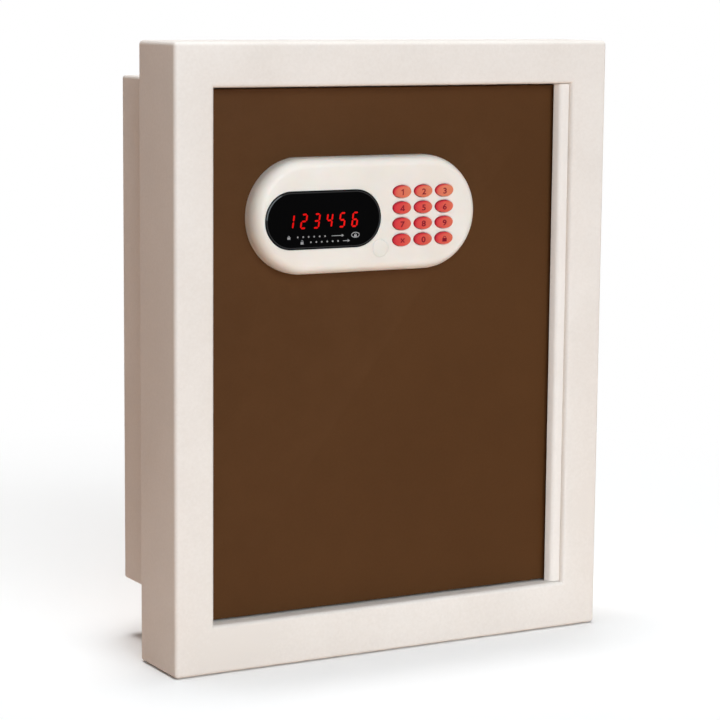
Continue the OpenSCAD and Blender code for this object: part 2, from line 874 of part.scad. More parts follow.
module hatch_rails() {
  x = hatch_w / 2 + run_gap;
  y1 = hatch_y + hatch_t + run_gap;
  z0 = hatch_bot - run_gap - rail_w;
  z1 = hatch_bot + hatch_len;
  color([0.33, 0.21, 0.12]) {
    for (s = [0, 1]) translate([tray_x, 0, 0]) mirror([s, 0, 0]) {
      block(x, x + rail_w, cover_back, y1 + rail_t, z0, z1);
      block(x - run_gap - rail_lip, x, y1, y1 + rail_t, z0, z1);
    }
    translate([tray_x, 0, 0]) block(-x, x, cover_back, hatch_y + hatch_t, z0, z0 + rail_w);
  }
}

module battery_hatch() {
  rib_w = 0.5 * hatch_w;
  rib_t = 1;
  rib_z = 5;
  rib_h = 2;
  color([0.33, 0.21, 0.12]) translate([tray_x, 0, hatch_bot]) {
    block(-hatch_w / 2, hatch_w / 2, hatch_y, hatch_y + hatch_t, 0, hatch_len);
    for (k = [1:4]) translate([0, hatch_y + hatch_t, k * rib_z])
      block(-rib_w / 2, rib_w / 2, 0, rib_t, 0, rib_h);
  }
}

module stadium(w, h) {
  translate([(h - w) / 2, -h / 2]) square([w - h, h]);
  for (s = [-1, 1]) translate([s * (w - h) / 2, 0]) circle(h / 2);
}

module half_dome(reach, depth, r) {
  union() {
    square([reach - r, depth]);
    square([reach, depth - r]);
    translate([reach - r, depth - r]) circle(r);
  }
}

// a pill with a rounded front edge, standing on z = 0
module pill(w, h, depth, r) {
  flat = w - h;
  for (s = [-1, 1]) translate([s * flat / 2, 0, 0]) rotate_extrude() half_dome(h / 2, depth, r);
  for (s = [0, 1]) mirror([0, s, 0]) translate([-flat / 2, 0, 0])
    rotate([90, 0, 90]) linear_extrude(flat) half_dome(h / 2, depth, r);
}

// an oval of four arcs
module oval(w, h) {
  a = w / 2;
  b = h / 2;
  r = 0.64 * b;
  big = ((a - r) * (a - r) + b * b - r * r) / (2 * (b - r));
  tangent_x = (a - r) * big / (big - r);
  for (s = [-1, 1]) translate([s * (a - r), 0]) circle(r);
  intersection() {
    translate([0, big - b]) circle(big, $fn = 256);
    translate([0, b - big]) circle(big, $fn = 256);
    square([2 * tangent_x, h], center = true);
  }
}

module at_keys() {
  for (p = key_cell) translate([p[0], p[1], 0]) children();
}

module keypad_housing() {
  color([0.94, 0.91, 0.89]) keypad_places() difference() {
    union() {
      difference() {
        pill(keypad_w, keypad_h, keypad_depth, keypad_round);
        translate([0, 0, -over])
          pill(keypad_w - 2 * keypad_wall, keypad_h - 2 * keypad_wall, wall_in + over,
            keypad_round - keypad_wall);
      }
      for (p = post_places) translate([p[0], p[1], 0]) cylinder(r = post_r, h = wall_in + set_gap);
      for (p = boss_places) translate([p[0], p[1], board_front])
        cylinder(r = boss_r, h = wall_in - board_front + set_gap);
    }
    for (p = post_places) translate([p[0], p[1], -over]) cylinder(r = post_bore, h = post_bore_top + over);
    for (p = boss_places) translate([p[0], p[1], board_front - over])
      cylinder(r = boss_bore, h = wall_in - board_front);
    translate([window_x, window_z, window_back]) linear_extrude(window_sink + over)
      stadium(window_w + 2 * window_gap, window_h + 2 * window_gap);
    translate([window_x, window_z, wall_in - over]) linear_extrude(keypad_wall + 2 * over)
      stadium(window_w - 2 * window_ledge, window_h - 2 * window_ledge);
    at_keys() translate([0, 0, wall_in - over]) linear_extrude(keypad_wall + 2 * over)
      oval(key_w + 2 * key_gap, key_h + 2 * key_gap);
    translate([cap_x, cap_z, keypad_depth - cap_seat]) cylinder(r = cap_r + cap_play, h = cap_seat + over);
    translate([cap_x, cap_z, wall_in - over])
      cylinder(r = cap_r - cap_step + cap_play, h = keypad_wall + over);
  }
}

module keypad_screws() {
  color([0.7, 0.7, 0.72]) keypad_places() for (p = post_places) translate([p[0], p[1], -door_plate])
    mirror([0, 0, 1]) domed_screw(post_bore - set_gap, m4_head_r, m4_head_h, door_plate + post_bore_top - 2);
}

function slanted(p) = [p[0] + p[1] * tan(digit_slant), p[1]];

// one bar of a figure, from the middle of one corner to the middle of the next
function bar(p, q) = let(
  d = (q - p) / norm(q - p), n = [-d[1], d[0]] * digit_bar / 2,
  a = p + d * digit_split, b = q - d * digit_split, e = d * digit_bar / 2
) [a, a + e - n, b - e - n, b, b - e + n, a + e + n];

// corners of a figure's bars and the bars that are lit for 1 to 6
bar_x = (digit_w - digit_bar) / 2;
bar_z = (digit_h - digit_bar) / 2;
bar_ends = [
  [[-bar_x, bar_z], [bar_x, bar_z]], [[bar_x, bar_z], [bar_x, 0]], [[bar_x, 0], [bar_x, -bar_z]],
  [[bar_x, -bar_z], [-bar_x, -bar_z]], [[-bar_x, -bar_z], [-bar_x, 0]], [[-bar_x, 0], [-bar_x, bar_z]],
  [[-bar_x, 0], [bar_x, 0]]
];
lit = [[1, 2], [0, 1, 6, 4, 3], [0, 1, 6, 2, 3], [5, 6, 1, 2], [0, 5, 6, 2, 3], [0, 5, 4, 3, 2, 6]];

module figures(depth) {
  front = window_back + window_t;
  for (k = [0:5]) translate([digits_x + (k - 2.5) * digit_pitch, digits_z, front - digit_sink])
    for (s = lit[k]) linear_extrude(depth)
      polygon([for (p = bar(bar_ends[s][0], bar_ends[s][1])) slanted(p)]);
}

module display_window() {
  color([0.01, 0.01, 0.012]) keypad_places() difference() {
    translate([window_x, window_z, window_back]) pill(window_w, window_h, window_t, window_round);
    figures(digit_sink + over);
  }
}

module display_digits() {
  color([1, 0.1, 0.06]) keypad_places() figures(digit_sink);
}

module display_module() {
  w = 6 * digit_pitch + 2 * module_side;
  h = digit_h + 2 * module_side;
  color([0.05, 0.05, 0.055]) keypad_places() translate([digits_x - w / 2, digits_z - h / 2, board_front])
    cube([w, h, window_back - board_front - set_gap]);
}

module keypad_mat() {
  x = key_pitch_x + key_w / 2 + mat_margin;
  z = 1.5 * key_pitch_z + key_h / 2 + mat_margin;
  color([0.3, 0.3, 0.32]) keypad_places() difference() {
    translate([key_grid_x, key_grid_z, board_front]) linear_extrude(mat_sheet) round_rect(-x, x, -z, z, 6);
    at_keys() translate([0, 0, board_front - over]) cylinder(r = mat_hole, h = mat_sheet + 2 * over);
  }
}

module keypad_board() {
  w = keypad_w - 2 * (keypad_wall + board_edge);
  h = keypad_h - 2 * (keypad_wall + board_edge);
  color([0.08, 0.3, 0.16]) keypad_places() {
    difference() {
      translate([0, 0, board_back]) linear_extrude(board_t) stadium(w, h);
      for (p = post_places) translate([p[0], p[1], board_back - over])
        cylinder(r = post_r + board_edge / 2, h = board_t + 2 * over);
      for (p = boss_places) translate([p[0], p[1], board_back - over])
        cylinder(r = boss_bore + set_gap, h = board_t + 2 * over);
    }
    for (s = [-1, 1]) translate([grommet_x + s * plug_x, plug_z, board_back - plug_t / 2])
      cube([plug_w, plug_w, plug_t], center = true);
  }
}

module board_screws() {
  color([0.7, 0.7, 0.72]) keypad_places() for (p = boss_places) translate([p[0], p[1], board_back])
    mirror([0, 0, 1]) domed_screw(boss_bore - set_gap, m3_head_r, m3_head_h, board_t + 2);
}

module service_port() {
  top = keypad_depth - cap_seat - 0.4;
  pocket = 3;
  color([0.06, 0.06, 0.07]) keypad_places() translate([cap_x, cap_z, board_front]) {
    difference() {
      cylinder(r = port_r, h = top - board_front);
      translate([0, 0, top - board_front - pocket]) cylinder(r = port_r - 1, h = pocket + over);
    }
    translate([0, 0, top - board_front - pocket]) cylinder(r = 1, h = pocket - 0.5);
  }
}

module port_cap() {
  seat = keypad_depth - cap_seat + cap_play;
  skirt_r = cap_r - cap_step;
  color([0.94, 0.91, 0.89]) keypad_places() translate([cap_x, cap_z, 0]) {
    translate([0, 0, seat]) rotate_extrude() half_dome(cap_r, cap_seat - cap_play + cap_proud, 0.5);
    translate([0, 0, seat - cap_skirt_len]) difference() {
      cylinder(r = skirt_r, h = cap_skirt_len);
      translate([0, 0, -over]) cylinder(r = skirt_r - cap_skirt, h = cap_skirt_len + over);
    }
  }
}

module key_at(i) {
  top = keypad_depth + key_rise;
  color([0.88, 0.35, 0.25]) keypad_places() translate([key_cell[i][0], key_cell[i][1], 0]) {
    translate([0, 0, skirt_top - skirt_t - pill_t]) cylinder(r = pill_r, h = pill_t);
    translate([0, 0, skirt_top - skirt_t]) linear_extrude(skirt_t)
      oval(key_w + 2 * skirt_lap, key_h + 2 * skirt_lap);
    intersection() {
      translate([0, 0, skirt_top]) linear_extrude(top - skirt_top) oval(key_w, key_h);
      translate([0, 0, top - key_dome]) sphere(key_dome);
    }
  }
}

module key_1() { key_at(0); }
module key_2() { key_at(1); }
module key_3() { key_at(2); }
module key_4() { key_at(3); }
module key_5() { key_at(4); }
module key_6() { key_at(5); }
module key_7() { key_at(6); }
module key_8() { key_at(7); }
module key_9() { key_at(8); }
module key_clear() { key_at(9); }
module key_0() { key_at(10); }
module key_lock() { key_at(11); }

module cable_grommet() {
  color([0.05, 0.05, 0.05]) keypad_places() translate([grommet_x, grommet_z, -door_plate]) difference() {
    union() {
      cylinder(r = grommet_r - set_gap, h = door_plate);
      for (z = [-grommet_flange, door_plate]) translate([0, 0, z])
        cylinder(r = grommet_r + grommet_lap, h = grommet_flange);
    }
    translate([0, 0, -grommet_flange - over])
      cylinder(r = grommet_bore, h = door_plate + 2 * grommet_flange + 2 * over);
  }
}

// a round lead carried along its route, closed at both ends
function unit(v) = v / norm(v);
function heading(path, i) = unit(path[min(i + 1, len(path) - 1)] - path[max(i - 1, 0)]);
function sideways(path, i, u) = i >= len(path) ? [] : let(
  t = heading(path, i), n = unit(u - (u * t) * t)
) concat([n], sideways(path, i + 1, n));
function ring(centre, t, u) = let(v = cross(t, u)) [for (k = [0:lead_sides - 1])
  centre + lead_r * (u * cos(k * 360 / lead_sides) + v * sin(k * 360 / lead_sides))];

module lead(path) {
  n = lead_sides;
  last = (len(path) - 1) * n;
  u = sideways(path, 0, [1, 0, 0]);
  skin = [for (i = [0:n:last - n]) for (k = [0:n - 1]) let(j = (k + 1) % n) each
    [[i + k, i + n + j, i + j], [i + k, i + n + k, i + n + j]]];
  ends = [for (k = [1:n - 2]) each [[0, k, k + 1], [last, last + k + 1, last + k]]];
  polyhedron(points = [for (i = [0:len(path) - 1]) each ring(path[i], heading(path, i), u[i])],
    faces = concat(skin, ends));
}

// the part of a route from a plug on the board, through the grommet, to behind the door plate
function plug_run(side) = let(
  x = keypad_x + grommet_x, z = keypad_z + grommet_z, out = face_y - board_back + plug_t / 2,
  low = keypad_z + plug_z - plug_w / 2, in = x + side * lead_part
) [
  [x + side * plug_x, out, low - lead_end],
  [x + side * plug_x, out, low - lead_bend],
  [x + side * 0.7 * plug_x, out + lead_bend / 2, z + lead_bend],
  [in, face_y - lead_part, z],
  [in, face_y, z],
  [in, plate_y + 0.8 * lead_part, z],
  [in, lead_y - lead_bend / 3, z - lead_bend / 2],
  [in, lead_y, z - 0.35 * lead_drop],
  [in, lead_y, z - lead_drop]
];
motor_span = keypad_x + grommet_x - lead_part - gear_x;
motor_route = concat(plug_run(-1), [
  [gear_x + 0.8 * motor_span, lead_y, motor_top + motor_sweep],
  [gear_x + 0.25 * motor_span, lead_y, motor_top + 0.55 * motor_sweep],
  [gear_x + 0.07 * motor_span, (lead_y + motor_y) / 2, motor_top + 0.35 * motor_sweep],
  [gear_x, motor_y, motor_top + 0.16 * motor_sweep],
  [gear_x, motor_y, motor_top + motor_boss + lead_end]
]);
battery_route = concat(plug_run(1), [
  [keypad_x + lead_drop, lead_y, keypad_z - battery_sweep],
  [tray_x - lead_drop, lead_y, tray_top + 0.85 * battery_sweep],
  [tray_x - 0.1 * battery_sweep, lead_y, tray_top + battery_sweep / 2],
  [tray_x, lead_y, tray_top + battery_sweep / 4],
  [tray_x, lead_y, tray_top + lead_end]
]);

module motor_lead() {
  color([0.7, 0.1, 0.08]) lead(motor_route);
}

module battery_lead() {
  color([0.12, 0.12, 0.13]) lead(battery_route);
}

// saddles on the long straight run of the battery lead
module cable_clips() {
  a = battery_route[9];
  b = battery_route[10];
  hole = lead_r + 2 * run_gap;
  turn = atan2(b[0] - a[0], b[2] - a[2]);
  color([0.85, 0.85, 0.82]) for (k = [0.2, 0.5, 0.8]) {
    p = a + k * (b - a);
    translate(p) rotate([0, turn, 0]) difference() {
      block(-hole - clip_wall, hole + clip_wall, plate_y - lead_y, hole + clip_wall, -clip_half, clip_half);
      rod_z(0, 0, hole, -clip_half - over, clip_half + over);
    }
  }
}

function involute(a) = tan(a) * deg - a;
function flank(r) = tooth_half + involute(pressure) - involute(acos(min(1, gear_base_r / r)));
flank_r = concat([gear_root_r],
  [for (k = [0:flank_steps]) gear_base_r + (gear_tip_r - gear_base_r) * k / flank_steps]);
function polar(r, a) = [r * cos(a), r * sin(a)];

module gear_outline() {
  n = len(flank_r);
  polygon([for (k = [0:pinion_teeth - 1]) let(c = -90 + (k + 0.5) * 360 / pinion_teeth) each concat(
    [for (i = [0:n - 1]) polar(flank_r[i], c - flank(max(flank_r[i], gear_base_r)))],
    [for (i = [n - 1:-1:0]) polar(flank_r[i], c + flank(max(flank_r[i], gear_base_r)))])]);
}

module rack_outline() {
  half = PI * gear_m / 4 - backlash / 4;
  slope = tan(pressure);
  root = -1.25 * gear_m;
  rect(carriage_right - over, rack_end, rack_z + root - rack_body, rack_z + root);
  for (k = [rack_first:rack_last]) translate([gear_x + k * PI * gear_m, rack_z]) polygon([
    [-half + root * slope, root - over], [half - root * slope, root - over], [half - root * slope, root],
    [half - gear_m * slope, gear_m], [gear_m * slope - half, gear_m], [root * slope - half, root]]);
}

module bolt_carriage() {
  slot_r = stud_r + slot_play;
  color([0.6, 0.61, 0.63]) difference() {
    union() {
      slab_xz(carriage_y0, carriage_y1) {
        round_rect(carriage_left, carriage_right, carriage_bot, carriage_top, 4);
        rect(flag_x - flag_w / 2, flag_x + flag_w / 2, carriage_bot - flag_h, carriage_bot + over);
      }
      slab_xz(carriage_y0, carriage_y1) rack_outline();
    }
    for (z = stud_z) slab_xz(carriage_y0 - over, carriage_y1 + over) {
      rect(stud_x, stud_x + bolt_throw, open_mid + z - slot_r, open_mid + z + slot_r);
      for (x = [stud_x, stud_x + bolt_throw]) translate([x, open_mid + z]) circle(slot_r);
    }
    for (z = bolt_z) rod_y(carriage_left + bolt_seat / 2, z, bolt_pin_r + set_gap,
      carriage_y0 - over, carriage_y1 + over);
  }
}

module locking_bolts() {
  tip_x = door_left + bolt_tip;
  chamfer = 1.5;
  color([0.78, 0.79, 0.8]) for (z = bolt_z) difference() {
    translate([tip_x, bolt_y, z]) rotate([0, 90, 0]) {
      cylinder(r1 = bolt_r - chamfer, r2 = bolt_r, h = chamfer);
      translate([0, 0, chamfer]) cylinder(r = bolt_r, h = carriage_left + bolt_seat - tip_x - chamfer);
    }
    block(carriage_left - set_gap, carriage_left + bolt_seat + over,
      carriage_y0 - set_gap, carriage_y1 + set_gap, z - bolt_d, z + bolt_d);
    rod_y(carriage_left + bolt_seat / 2, z, bolt_pin_r + set_gap, bolt_y - bolt_d, bolt_y + bolt_d);
  }
}

module bolt_pins() {
  color([0.75, 0.76, 0.78]) for (z = bolt_z)
    rod_y(carriage_left + bolt_seat / 2, z, bolt_pin_r, bolt_y - bolt_r + 0.4, bolt_y + bolt_r - 0.4);
}

module drive_pinion() {
  color([0.78, 0.62, 0.3]) difference() {
    translate([gear_x, 0, gear_z]) slab_xz(bolt_y - gear_t / 2, bolt_y + gear_t / 2) gear_outline();
    rod_y(gear_x, gear_z, shaft_r + set_gap, bolt_y - gear_t, bolt_y + gear_t);
  }
}

module output_shaft() {
  color([0.75, 0.76, 0.78]) rod_y(gear_x, gear_z, shaft_r, plate_y + shaft_tail, bolt_y + gear_t / 2 + 1);
}

front_frame();
back_ring();
strike_jamb();
rear_case();
case_screws();
hinge_strip();
strike_plates();
jamb_screws();
hinge_bushes();
door_stops();
stop_pads();
floor_mat();
door_panel();
door_pan();
back_cover();
cover_screws();
hinge_blocks();
hinge_pins();
bolt_guides();
guide_studs();
gearbox_housing();
motor_can();
motor_screws();
bolt_sensors();
battery_holder();
battery_contacts();
battery_cells();
hatch_rails();
keypad_housing();
keypad_screws();
display_window();
display_digits();
display_module();
keypad_mat();
keypad_board();
board_screws();
service_port();
cable_grommet();
motor_lead();
battery_lead();
cable_clips();
bolt_carriage();
locking_bolts();
bolt_pins();
drive_pinion();
output_shaft();
key_1();
key_2();
key_3();
key_4();
key_5();
key_6();
key_7();
key_8();
key_9();
key_clear();
key_0();
key_lock();
port_cap();
battery_hatch();
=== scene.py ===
import json
import math

import bmesh
import bpy
from mathutils import Matrix, Vector, noise


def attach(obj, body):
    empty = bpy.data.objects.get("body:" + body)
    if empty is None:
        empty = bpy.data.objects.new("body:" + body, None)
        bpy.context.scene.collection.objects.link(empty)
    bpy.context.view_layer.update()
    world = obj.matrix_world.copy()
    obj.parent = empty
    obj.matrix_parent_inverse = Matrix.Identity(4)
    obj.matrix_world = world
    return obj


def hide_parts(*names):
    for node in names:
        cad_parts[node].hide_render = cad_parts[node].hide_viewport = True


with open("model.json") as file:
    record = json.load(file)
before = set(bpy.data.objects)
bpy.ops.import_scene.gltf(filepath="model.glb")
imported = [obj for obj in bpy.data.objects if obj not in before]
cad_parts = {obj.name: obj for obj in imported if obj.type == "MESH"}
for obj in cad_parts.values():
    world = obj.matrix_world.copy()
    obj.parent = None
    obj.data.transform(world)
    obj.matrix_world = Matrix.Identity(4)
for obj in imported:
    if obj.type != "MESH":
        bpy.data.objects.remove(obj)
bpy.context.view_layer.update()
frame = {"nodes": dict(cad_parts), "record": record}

MM = 0.001
nodes = frame["nodes"]

# Sizes in millimetres, as in the part: x to the right, y into the wall, z up
FRAME_X, FRAME_Z, FRAME_ROUND = 203, 254, 3.5
FRONT, WALL = -68, 0
OPEN_X, OPEN_LOW, OPEN_HIGH, OPEN_ROUND = 168, -214, 218, 4
JAMB_BACK = -22
SHEET = 2
CASE_X, CASE_LOW, CASE_HIGH, CASE_BACK = 178, -205, 223, 88
CASE_MID, CASE_PLAY, CASE_ROUND = 9, 0.4, 2.5
FLANGE = 11
FIXING_RISE, STUD_Y, STUD_HOLE = 150, 32, 3.5
ANCHOR_X, ANCHOR_HOLE = 125, 5
SCREW_HOLE = 2.05
CASE_SCREWS = ([(x, z) for x in (-183.5, 183.5) for z in (-145.08, 9, 163.08)] +
               [(x, z) for x in (-128.16, 0, 128.16) for z in (-210.5, 228.5)])
STRIKE_SCREWS, STRIKE_HEAD, STRIKE_SHANK, STRIKE_SINK = (-136, -100, 104, 140), 4.65, 2.4, 0.2
BOLT_Y, BOLT_HEIGHTS = -38.25, (-118, 122)
BOLT_WINDOW, BOLT_WINDOW_FRONT, BOLT_WINDOW_DEEP = 8, -64, 5
PIVOT_X, PIVOT_Y, BUSH_HOLE = 145, -44, 5.55
STRIP_LEFT, STRIP_FRONT, STRIP_BACK = 156, -64, -54.4
STRIP_LIP_BACK, STRIP_SLOPE, STRIP_WEB = -57.5, 3.5, 158.6
STRIP_SHEET, STRIP_END = 1.5, 0.4
STRIP_FOLD_ROUND, STRIP_LIP_ROUND, STRIP_EDGE_ROUND = 2.5, 0.8, 0.7
STRIP_SCREWS, STRIP_SCREW_Y = (-170.8, 2, 174.8), -59.2
FELT_W, FELT_D, FELT_Y, FELT_BASE, FELT_THICK, FELT_EDGE = 348, 82, 43, -202.9, 2.5, 0.9
# Height of the felt's waves, and how many there are to a metre
FELT_WAVES = ((0.22, 45), (0.12, 160))
DOOR_LEFT, DOOR_RIGHT, DOOR_FACE, DOOR_BACK = -166, 160, -54, -50
DOOR_GAP, DOOR_ROUND = 1.4, 0.8
PAD_X, PAD_Z, PAD_W, PAD_H, PAD_FRONT, PAD_WALL = -30.5, 114, 208, 94.5, -72, 3
PAD_EDGE_WIDE, PAD_EDGE_DEEP = 8.5, 13
POST_X, POST_Z, POST_HOLE = 85, 26, 2.1
GROMMET_Z, GROMMET_HOLE = 8, 6
LENS_X, LENS_Z, LENS_W, LENS_H, LENS_FRONT = -72.6, 111.7, 106, 47, -72.55
LENS_BORDER, LENS_BEVEL, LENS_STEP, LENS_ROUND = 0.9, 0.9, 0.38, 0.2
LENS_SEAT, LENS_LEDGE, LENS_PLAY, LENS_GLUE = 2, 4, 0.3, 0.05
KEYS_X, KEYS_Z, KEY_STEP_X, KEY_STEP_Z = 20.1, 112.3, 20.1, 13.2
KEY_ROWS = (("1", "2", "3"), ("4", "5", "6"), ("7", "8", "9"), ("clear", "0", "lock"))
KEY_HALF_W, KEY_HALF_H, KEY_TOP, KEY_DOME = 8.3, 4.95, -73.94, 40
KEY_FOOT, KEY_TALL, KEY_ROUND = 4, 5, 0.6
KEY_PLAY, KEY_FLARE_PLAY, KEY_FLARE = 0.35, 0.3, 0.9
CAP_X, CAP_Z, CAP_R, CAP_PLAY = -19.9, 86.4, 7.25, 0.06
# How far a cutter reaches past a sheet, and a test past an edge
PAST = 1
# What a round end leaves straight, so that its two arcs don't cross
ARC_GAP = 0.002

# Signs below the figures: heights, places from the window's middle, and sizes
HINT_UPPER, HINT_LOWER, HINT_PROUD = 98.4, 94.0, 0.03
SHUT_LOCK_X, SHUT_DOTS_X, SHUT_ARROW_X, SHUT_ARROW, SHUT_KEY_X = -32, -11.5, 12, 10, 29
FREE_LOCK_X, FREE_DOTS_X, FREE_ARROW_X, FREE_ARROW = -20, 0.5, 20, 5
HINT_LOCK, HINT_KEY_LOCK, HINT_KEY_DROP = 3, 2.7, 0.2
HINT_KEY_W, HINT_KEY_H, HINT_KEY_LINE = 3.8, 2.3, 0.5
ARROW_LINE, ARROW_HEAD = 0.45, 1.3
DOTS, DOT_STEP, DOT_R = 6, 5, 0.7

# Legends on the keys: places from a key's middle, and sizes
LEGEND_X, LEGEND_Z, LEGEND_PROUD, INK_DEPTH = -0.15, -0.4, 0.05, 0.12
CROSS_SIZE, CROSS_LINE = 4.6, 0.8
KEY_LOCK, KEY_LOCK_Z = 4.8, -0.5
FIGURE, FIGURE_WIDEN, FIGURE_BOLD = 4.9, 1.18, 0.022
# Figures drawn with straight strokes, in shares of a figure's height: place, length, thickness and turn
STROKES = {
    "1": ((0.06, 0, 1, 0.18, 90), (-0.12, 0.33, 0.36, 0.16, -40)),
    "4": ((0.15, 0, 1, 0.18, 90), (-0.02, -0.25, 0.9, 0.17, 0), (-0.11, 0.12, 0.87, 0.17, -52)),
}
# Rings of a key's dome, each a share of the one outside it
KEY_RINGS = (0.88, 0.84, 0.76, 0.6, 0.3)
# How far a key's colour goes from crimson to orange: painted shade towards crimson at the upper left rim,
# painted light towards orange to the right and in the upper rows
PAINTED_LIGHT_LEVEL, PAINTED_LIGHT_COLUMN, PAINTED_LIGHT_ROW, PAINTED_LIGHT_RIGHT, PAINTED_SHADE_RIM = 0.6, 0.05, 0.3, 0.17, 1.05

# Stage: reaches in metres, the gap under the object in millimetres, colours as shaders take them
FLOOR_HALF, FLOOR_GAP = 8, 0.5
WHITE, FLOOR_PALE = (1, 1, 1, 1), (0.97, 0.97, 0.97, 1)
WHITE_FROM, WHITE_TO = 0.4, 1.1
CARD_NEAR, CARD_FAR = (0.95, 0.8, 0.7, 1), (0.47, 0.265, 0.15, 1)
CARD_X, CARD_Y, CARD_FROM, CARD_TO = 0.05, -0.35, 0.15, 0.7
AIR_COLOUR, AIR_POWER = (1.0, 0.74, 0.56, 1), 0.04
# Lamps: the way to each, power, spread in degrees, colour, and whether gloss shows it
LAMPS = (
    ("front_light", (-0.09, -0.95, 0.26), 2.52, 50, (0.875, 1.0, 1.08), True),
    ("top_light", (0.0, 0.05, 1.0), 2.37, 20, (1.0, 1.0, 1.0), True),
    ("back_light", (0.5, 0.86, 0.02), 1.9, 8, (0.95, 1.0, 1.03), False),
)
# Camera: angles in degrees, place, lens and sensor in millimetres, reach in metres
CAMERA_TURN, CAMERA_TILT, CAMERA_ROLL = -29.42, 8.37, 0.5
CAMERA_ACROSS, CAMERA_UP, CAMERA_BACK = 2.1, -16.5, 2133.5
CAMERA_LENS, CAMERA_SENSOR, CAMERA_REACH = 125.5, 36, 50


def mm(x, y, z):
    return Vector((x, y, z)) * MM


def tone(r, g, b):
    """A colour seen as 0 to 255, as the linear values that shaders take."""
    return tuple(((c / 255 + 0.055) / 1.055) ** 2.4 for c in (r, g, b)) + (1.0,)


# Materials

def wire(tree, source, target):
    tree.links.new(source, target)


def add(tree, kind, **values):
    made = tree.nodes.new(kind)
    for name, value in values.items():
        label = name.replace("_", " ").title()
        if label in made.inputs:
            made.inputs[label].default_value = value
        else:
            setattr(made, name, value)
    return made


def group(name, inputs, outputs):
    tree = bpy.data.node_groups.new(name, "ShaderNodeTree")
    for label, value in inputs.items():
        socket = tree.interface.new_socket(label, in_out="INPUT", socket_type="NodeSocketFloat")
        socket.default_value = value
    for label in outputs:
        tree.interface.new_socket(label, in_out="OUTPUT", socket_type="NodeSocketFloat")
    return tree, tree.nodes.new("NodeGroupInput").outputs, tree.nodes.new("NodeGroupOutput").inputs


def blend_heights(tree, first, second, share):
    """A sum of two heights, the second one weaker."""
    made = add(tree, "ShaderNodeMath", operation="MULTIPLY_ADD")
    made.inputs[1].default_value = share
    wire(tree, second, made.inputs[0])
    wire(tree, first, made.inputs[2])
    return made.outputs[0]


def sprayed_coat_group():
    """Powder coat: a soft orange peel, fine grit on it and a tone that mottles with the peel and drifts."""
    tree, given, out = group("sprayed_coat", {"Peel": 420.0, "Grit": 2600.0}, ("Height", "Grit", "Mottle"))
    place = add(tree, "ShaderNodeTexCoord").outputs["Object"]
    peel = add(tree, "ShaderNodeTexNoise", detail=2.0, roughness=0.45)
    grit = add(tree, "ShaderNodeTexNoise", detail=1.0, roughness=0.6)
    drift = add(tree, "ShaderNodeTexNoise", scale=9.0, detail=3.0, roughness=0.55)
    for made in (peel, grit, drift):
        wire(tree, place, made.inputs["Vector"])
    wire(tree, given["Peel"], peel.inputs["Scale"])
    wire(tree, given["Grit"], grit.inputs["Scale"])
    wire(tree, blend_heights(tree, peel.outputs["Fac"], grit.outputs["Fac"], share=0.35), out["Height"])
    wire(tree, grit.outputs["Fac"], out["Grit"])
    wire(tree, blend_heights(tree, drift.outputs["Fac"], peel.outputs["Fac"], share=0.5), out["Mottle"])
    return tree


def moulded_skin_group():
    """Moulded plastic or rubber: a fine eroded grain from the tool, and slow changes of tone."""
    tree, given, out = group("moulded_skin", {"Grain": 1800.0}, ("Height", "Drift"))
    place = add(tree, "ShaderNodeTexCoord").outputs["Object"]
    pits = add(tree, "ShaderNodeTexVoronoi", feature="SMOOTH_F1", smoothness=0.6)
    fine = add(tree, "ShaderNodeTexNoise", scale=4200.0, detail=1.0)
    drift = add(tree, "ShaderNodeTexNoise", scale=24.0, detail=2.0)
    for made in (pits, fine, drift):
        wire(tree, place, made.inputs["Vector"])
    wire(tree, given["Grain"], pits.inputs["Scale"])
    wire(tree, blend_heights(tree, pits.outputs["Distance"], fine.outputs["Fac"], share=0.3), out["Height"])
    wire(tree, drift.outputs["Fac"], out["Drift"])
    return tree


def drawn_metal_group():
    """Drawn or rolled metal: fine lines along the piece and a slow cloud of handling marks."""
    tree, given, out = group("drawn_metal", {"Lines": 1400.0, "Run": 0.03}, ("Lines", "Cloud"))
    place = add(tree, "ShaderNodeTexCoord").outputs["Object"]
    along = add(tree, "ShaderNodeCombineXYZ", x=1.0, y=1.0)
    stretch = add(tree, "ShaderNodeVectorMath", operation="MULTIPLY")
    lines = add(tree, "ShaderNodeTexNoise", detail=2.0, roughness=0.5)
    cloud = add(tree, "ShaderNodeTexNoise", scale=55.0, detail=3.0, roughness=0.6)
    wire(tree, given["Run"], along.inputs["Z"])
    wire(tree, place, stretch.inputs[0])
    wire(tree, along.outputs[0], stretch.inputs[1])
    wire(tree, stretch.outputs[0], lines.inputs["Vector"])
    wire(tree, given["Lines"], lines.inputs["Scale"])
    wire(tree, place, cloud.inputs["Vector"])
    wire(tree, lines.outputs["Fac"], out["Lines"])
    wire(tree, cloud.outputs["Fac"], out["Cloud"])
    return tree


def worn_and_highlit_edges_group():
    """Outward edges, broken up, where hands and cloths thin the coat; the paler tone there is also a painted
    highlight.
    """
    tree, given, out = group("worn_and_highlit_edges", {"Start": 0.54, "Full": 0.62}, ("WearAndHighlight",))
    edges = add(tree, "ShaderNodeNewGeometry").outputs["Pointiness"]
    place = add(tree, "ShaderNodeTexCoord").outputs["Object"]
    patch = add(tree, "ShaderNodeTexNoise", scale=60.0, detail=4.0, roughness=0.65)
    reach = add(tree, "ShaderNodeMapRange")
    broken = add(tree, "ShaderNodeMath", operation="MULTIPLY")
    wire(tree, place, patch.inputs["Vector"])
    wire(tree, edges, reach.inputs["Value"])
    wire(tree, given["Start"], reach.inputs["From Min"])
    wire(tree, given["Full"], reach.inputs["From Max"])
    wire(tree, reach.outputs[0], broken.inputs[0])
    wire(tree, patch.outputs["Fac"], broken.inputs[1])
    wire(tree, broken.outputs[0], out["WearAndHighlight"])
    return tree


SPRAYED = sprayed_coat_group()
MOULDED = moulded_skin_group()
DRAWN = drawn_metal_group()
WORN_AND_HIGHLIT = worn_and_highlit_edges_group()


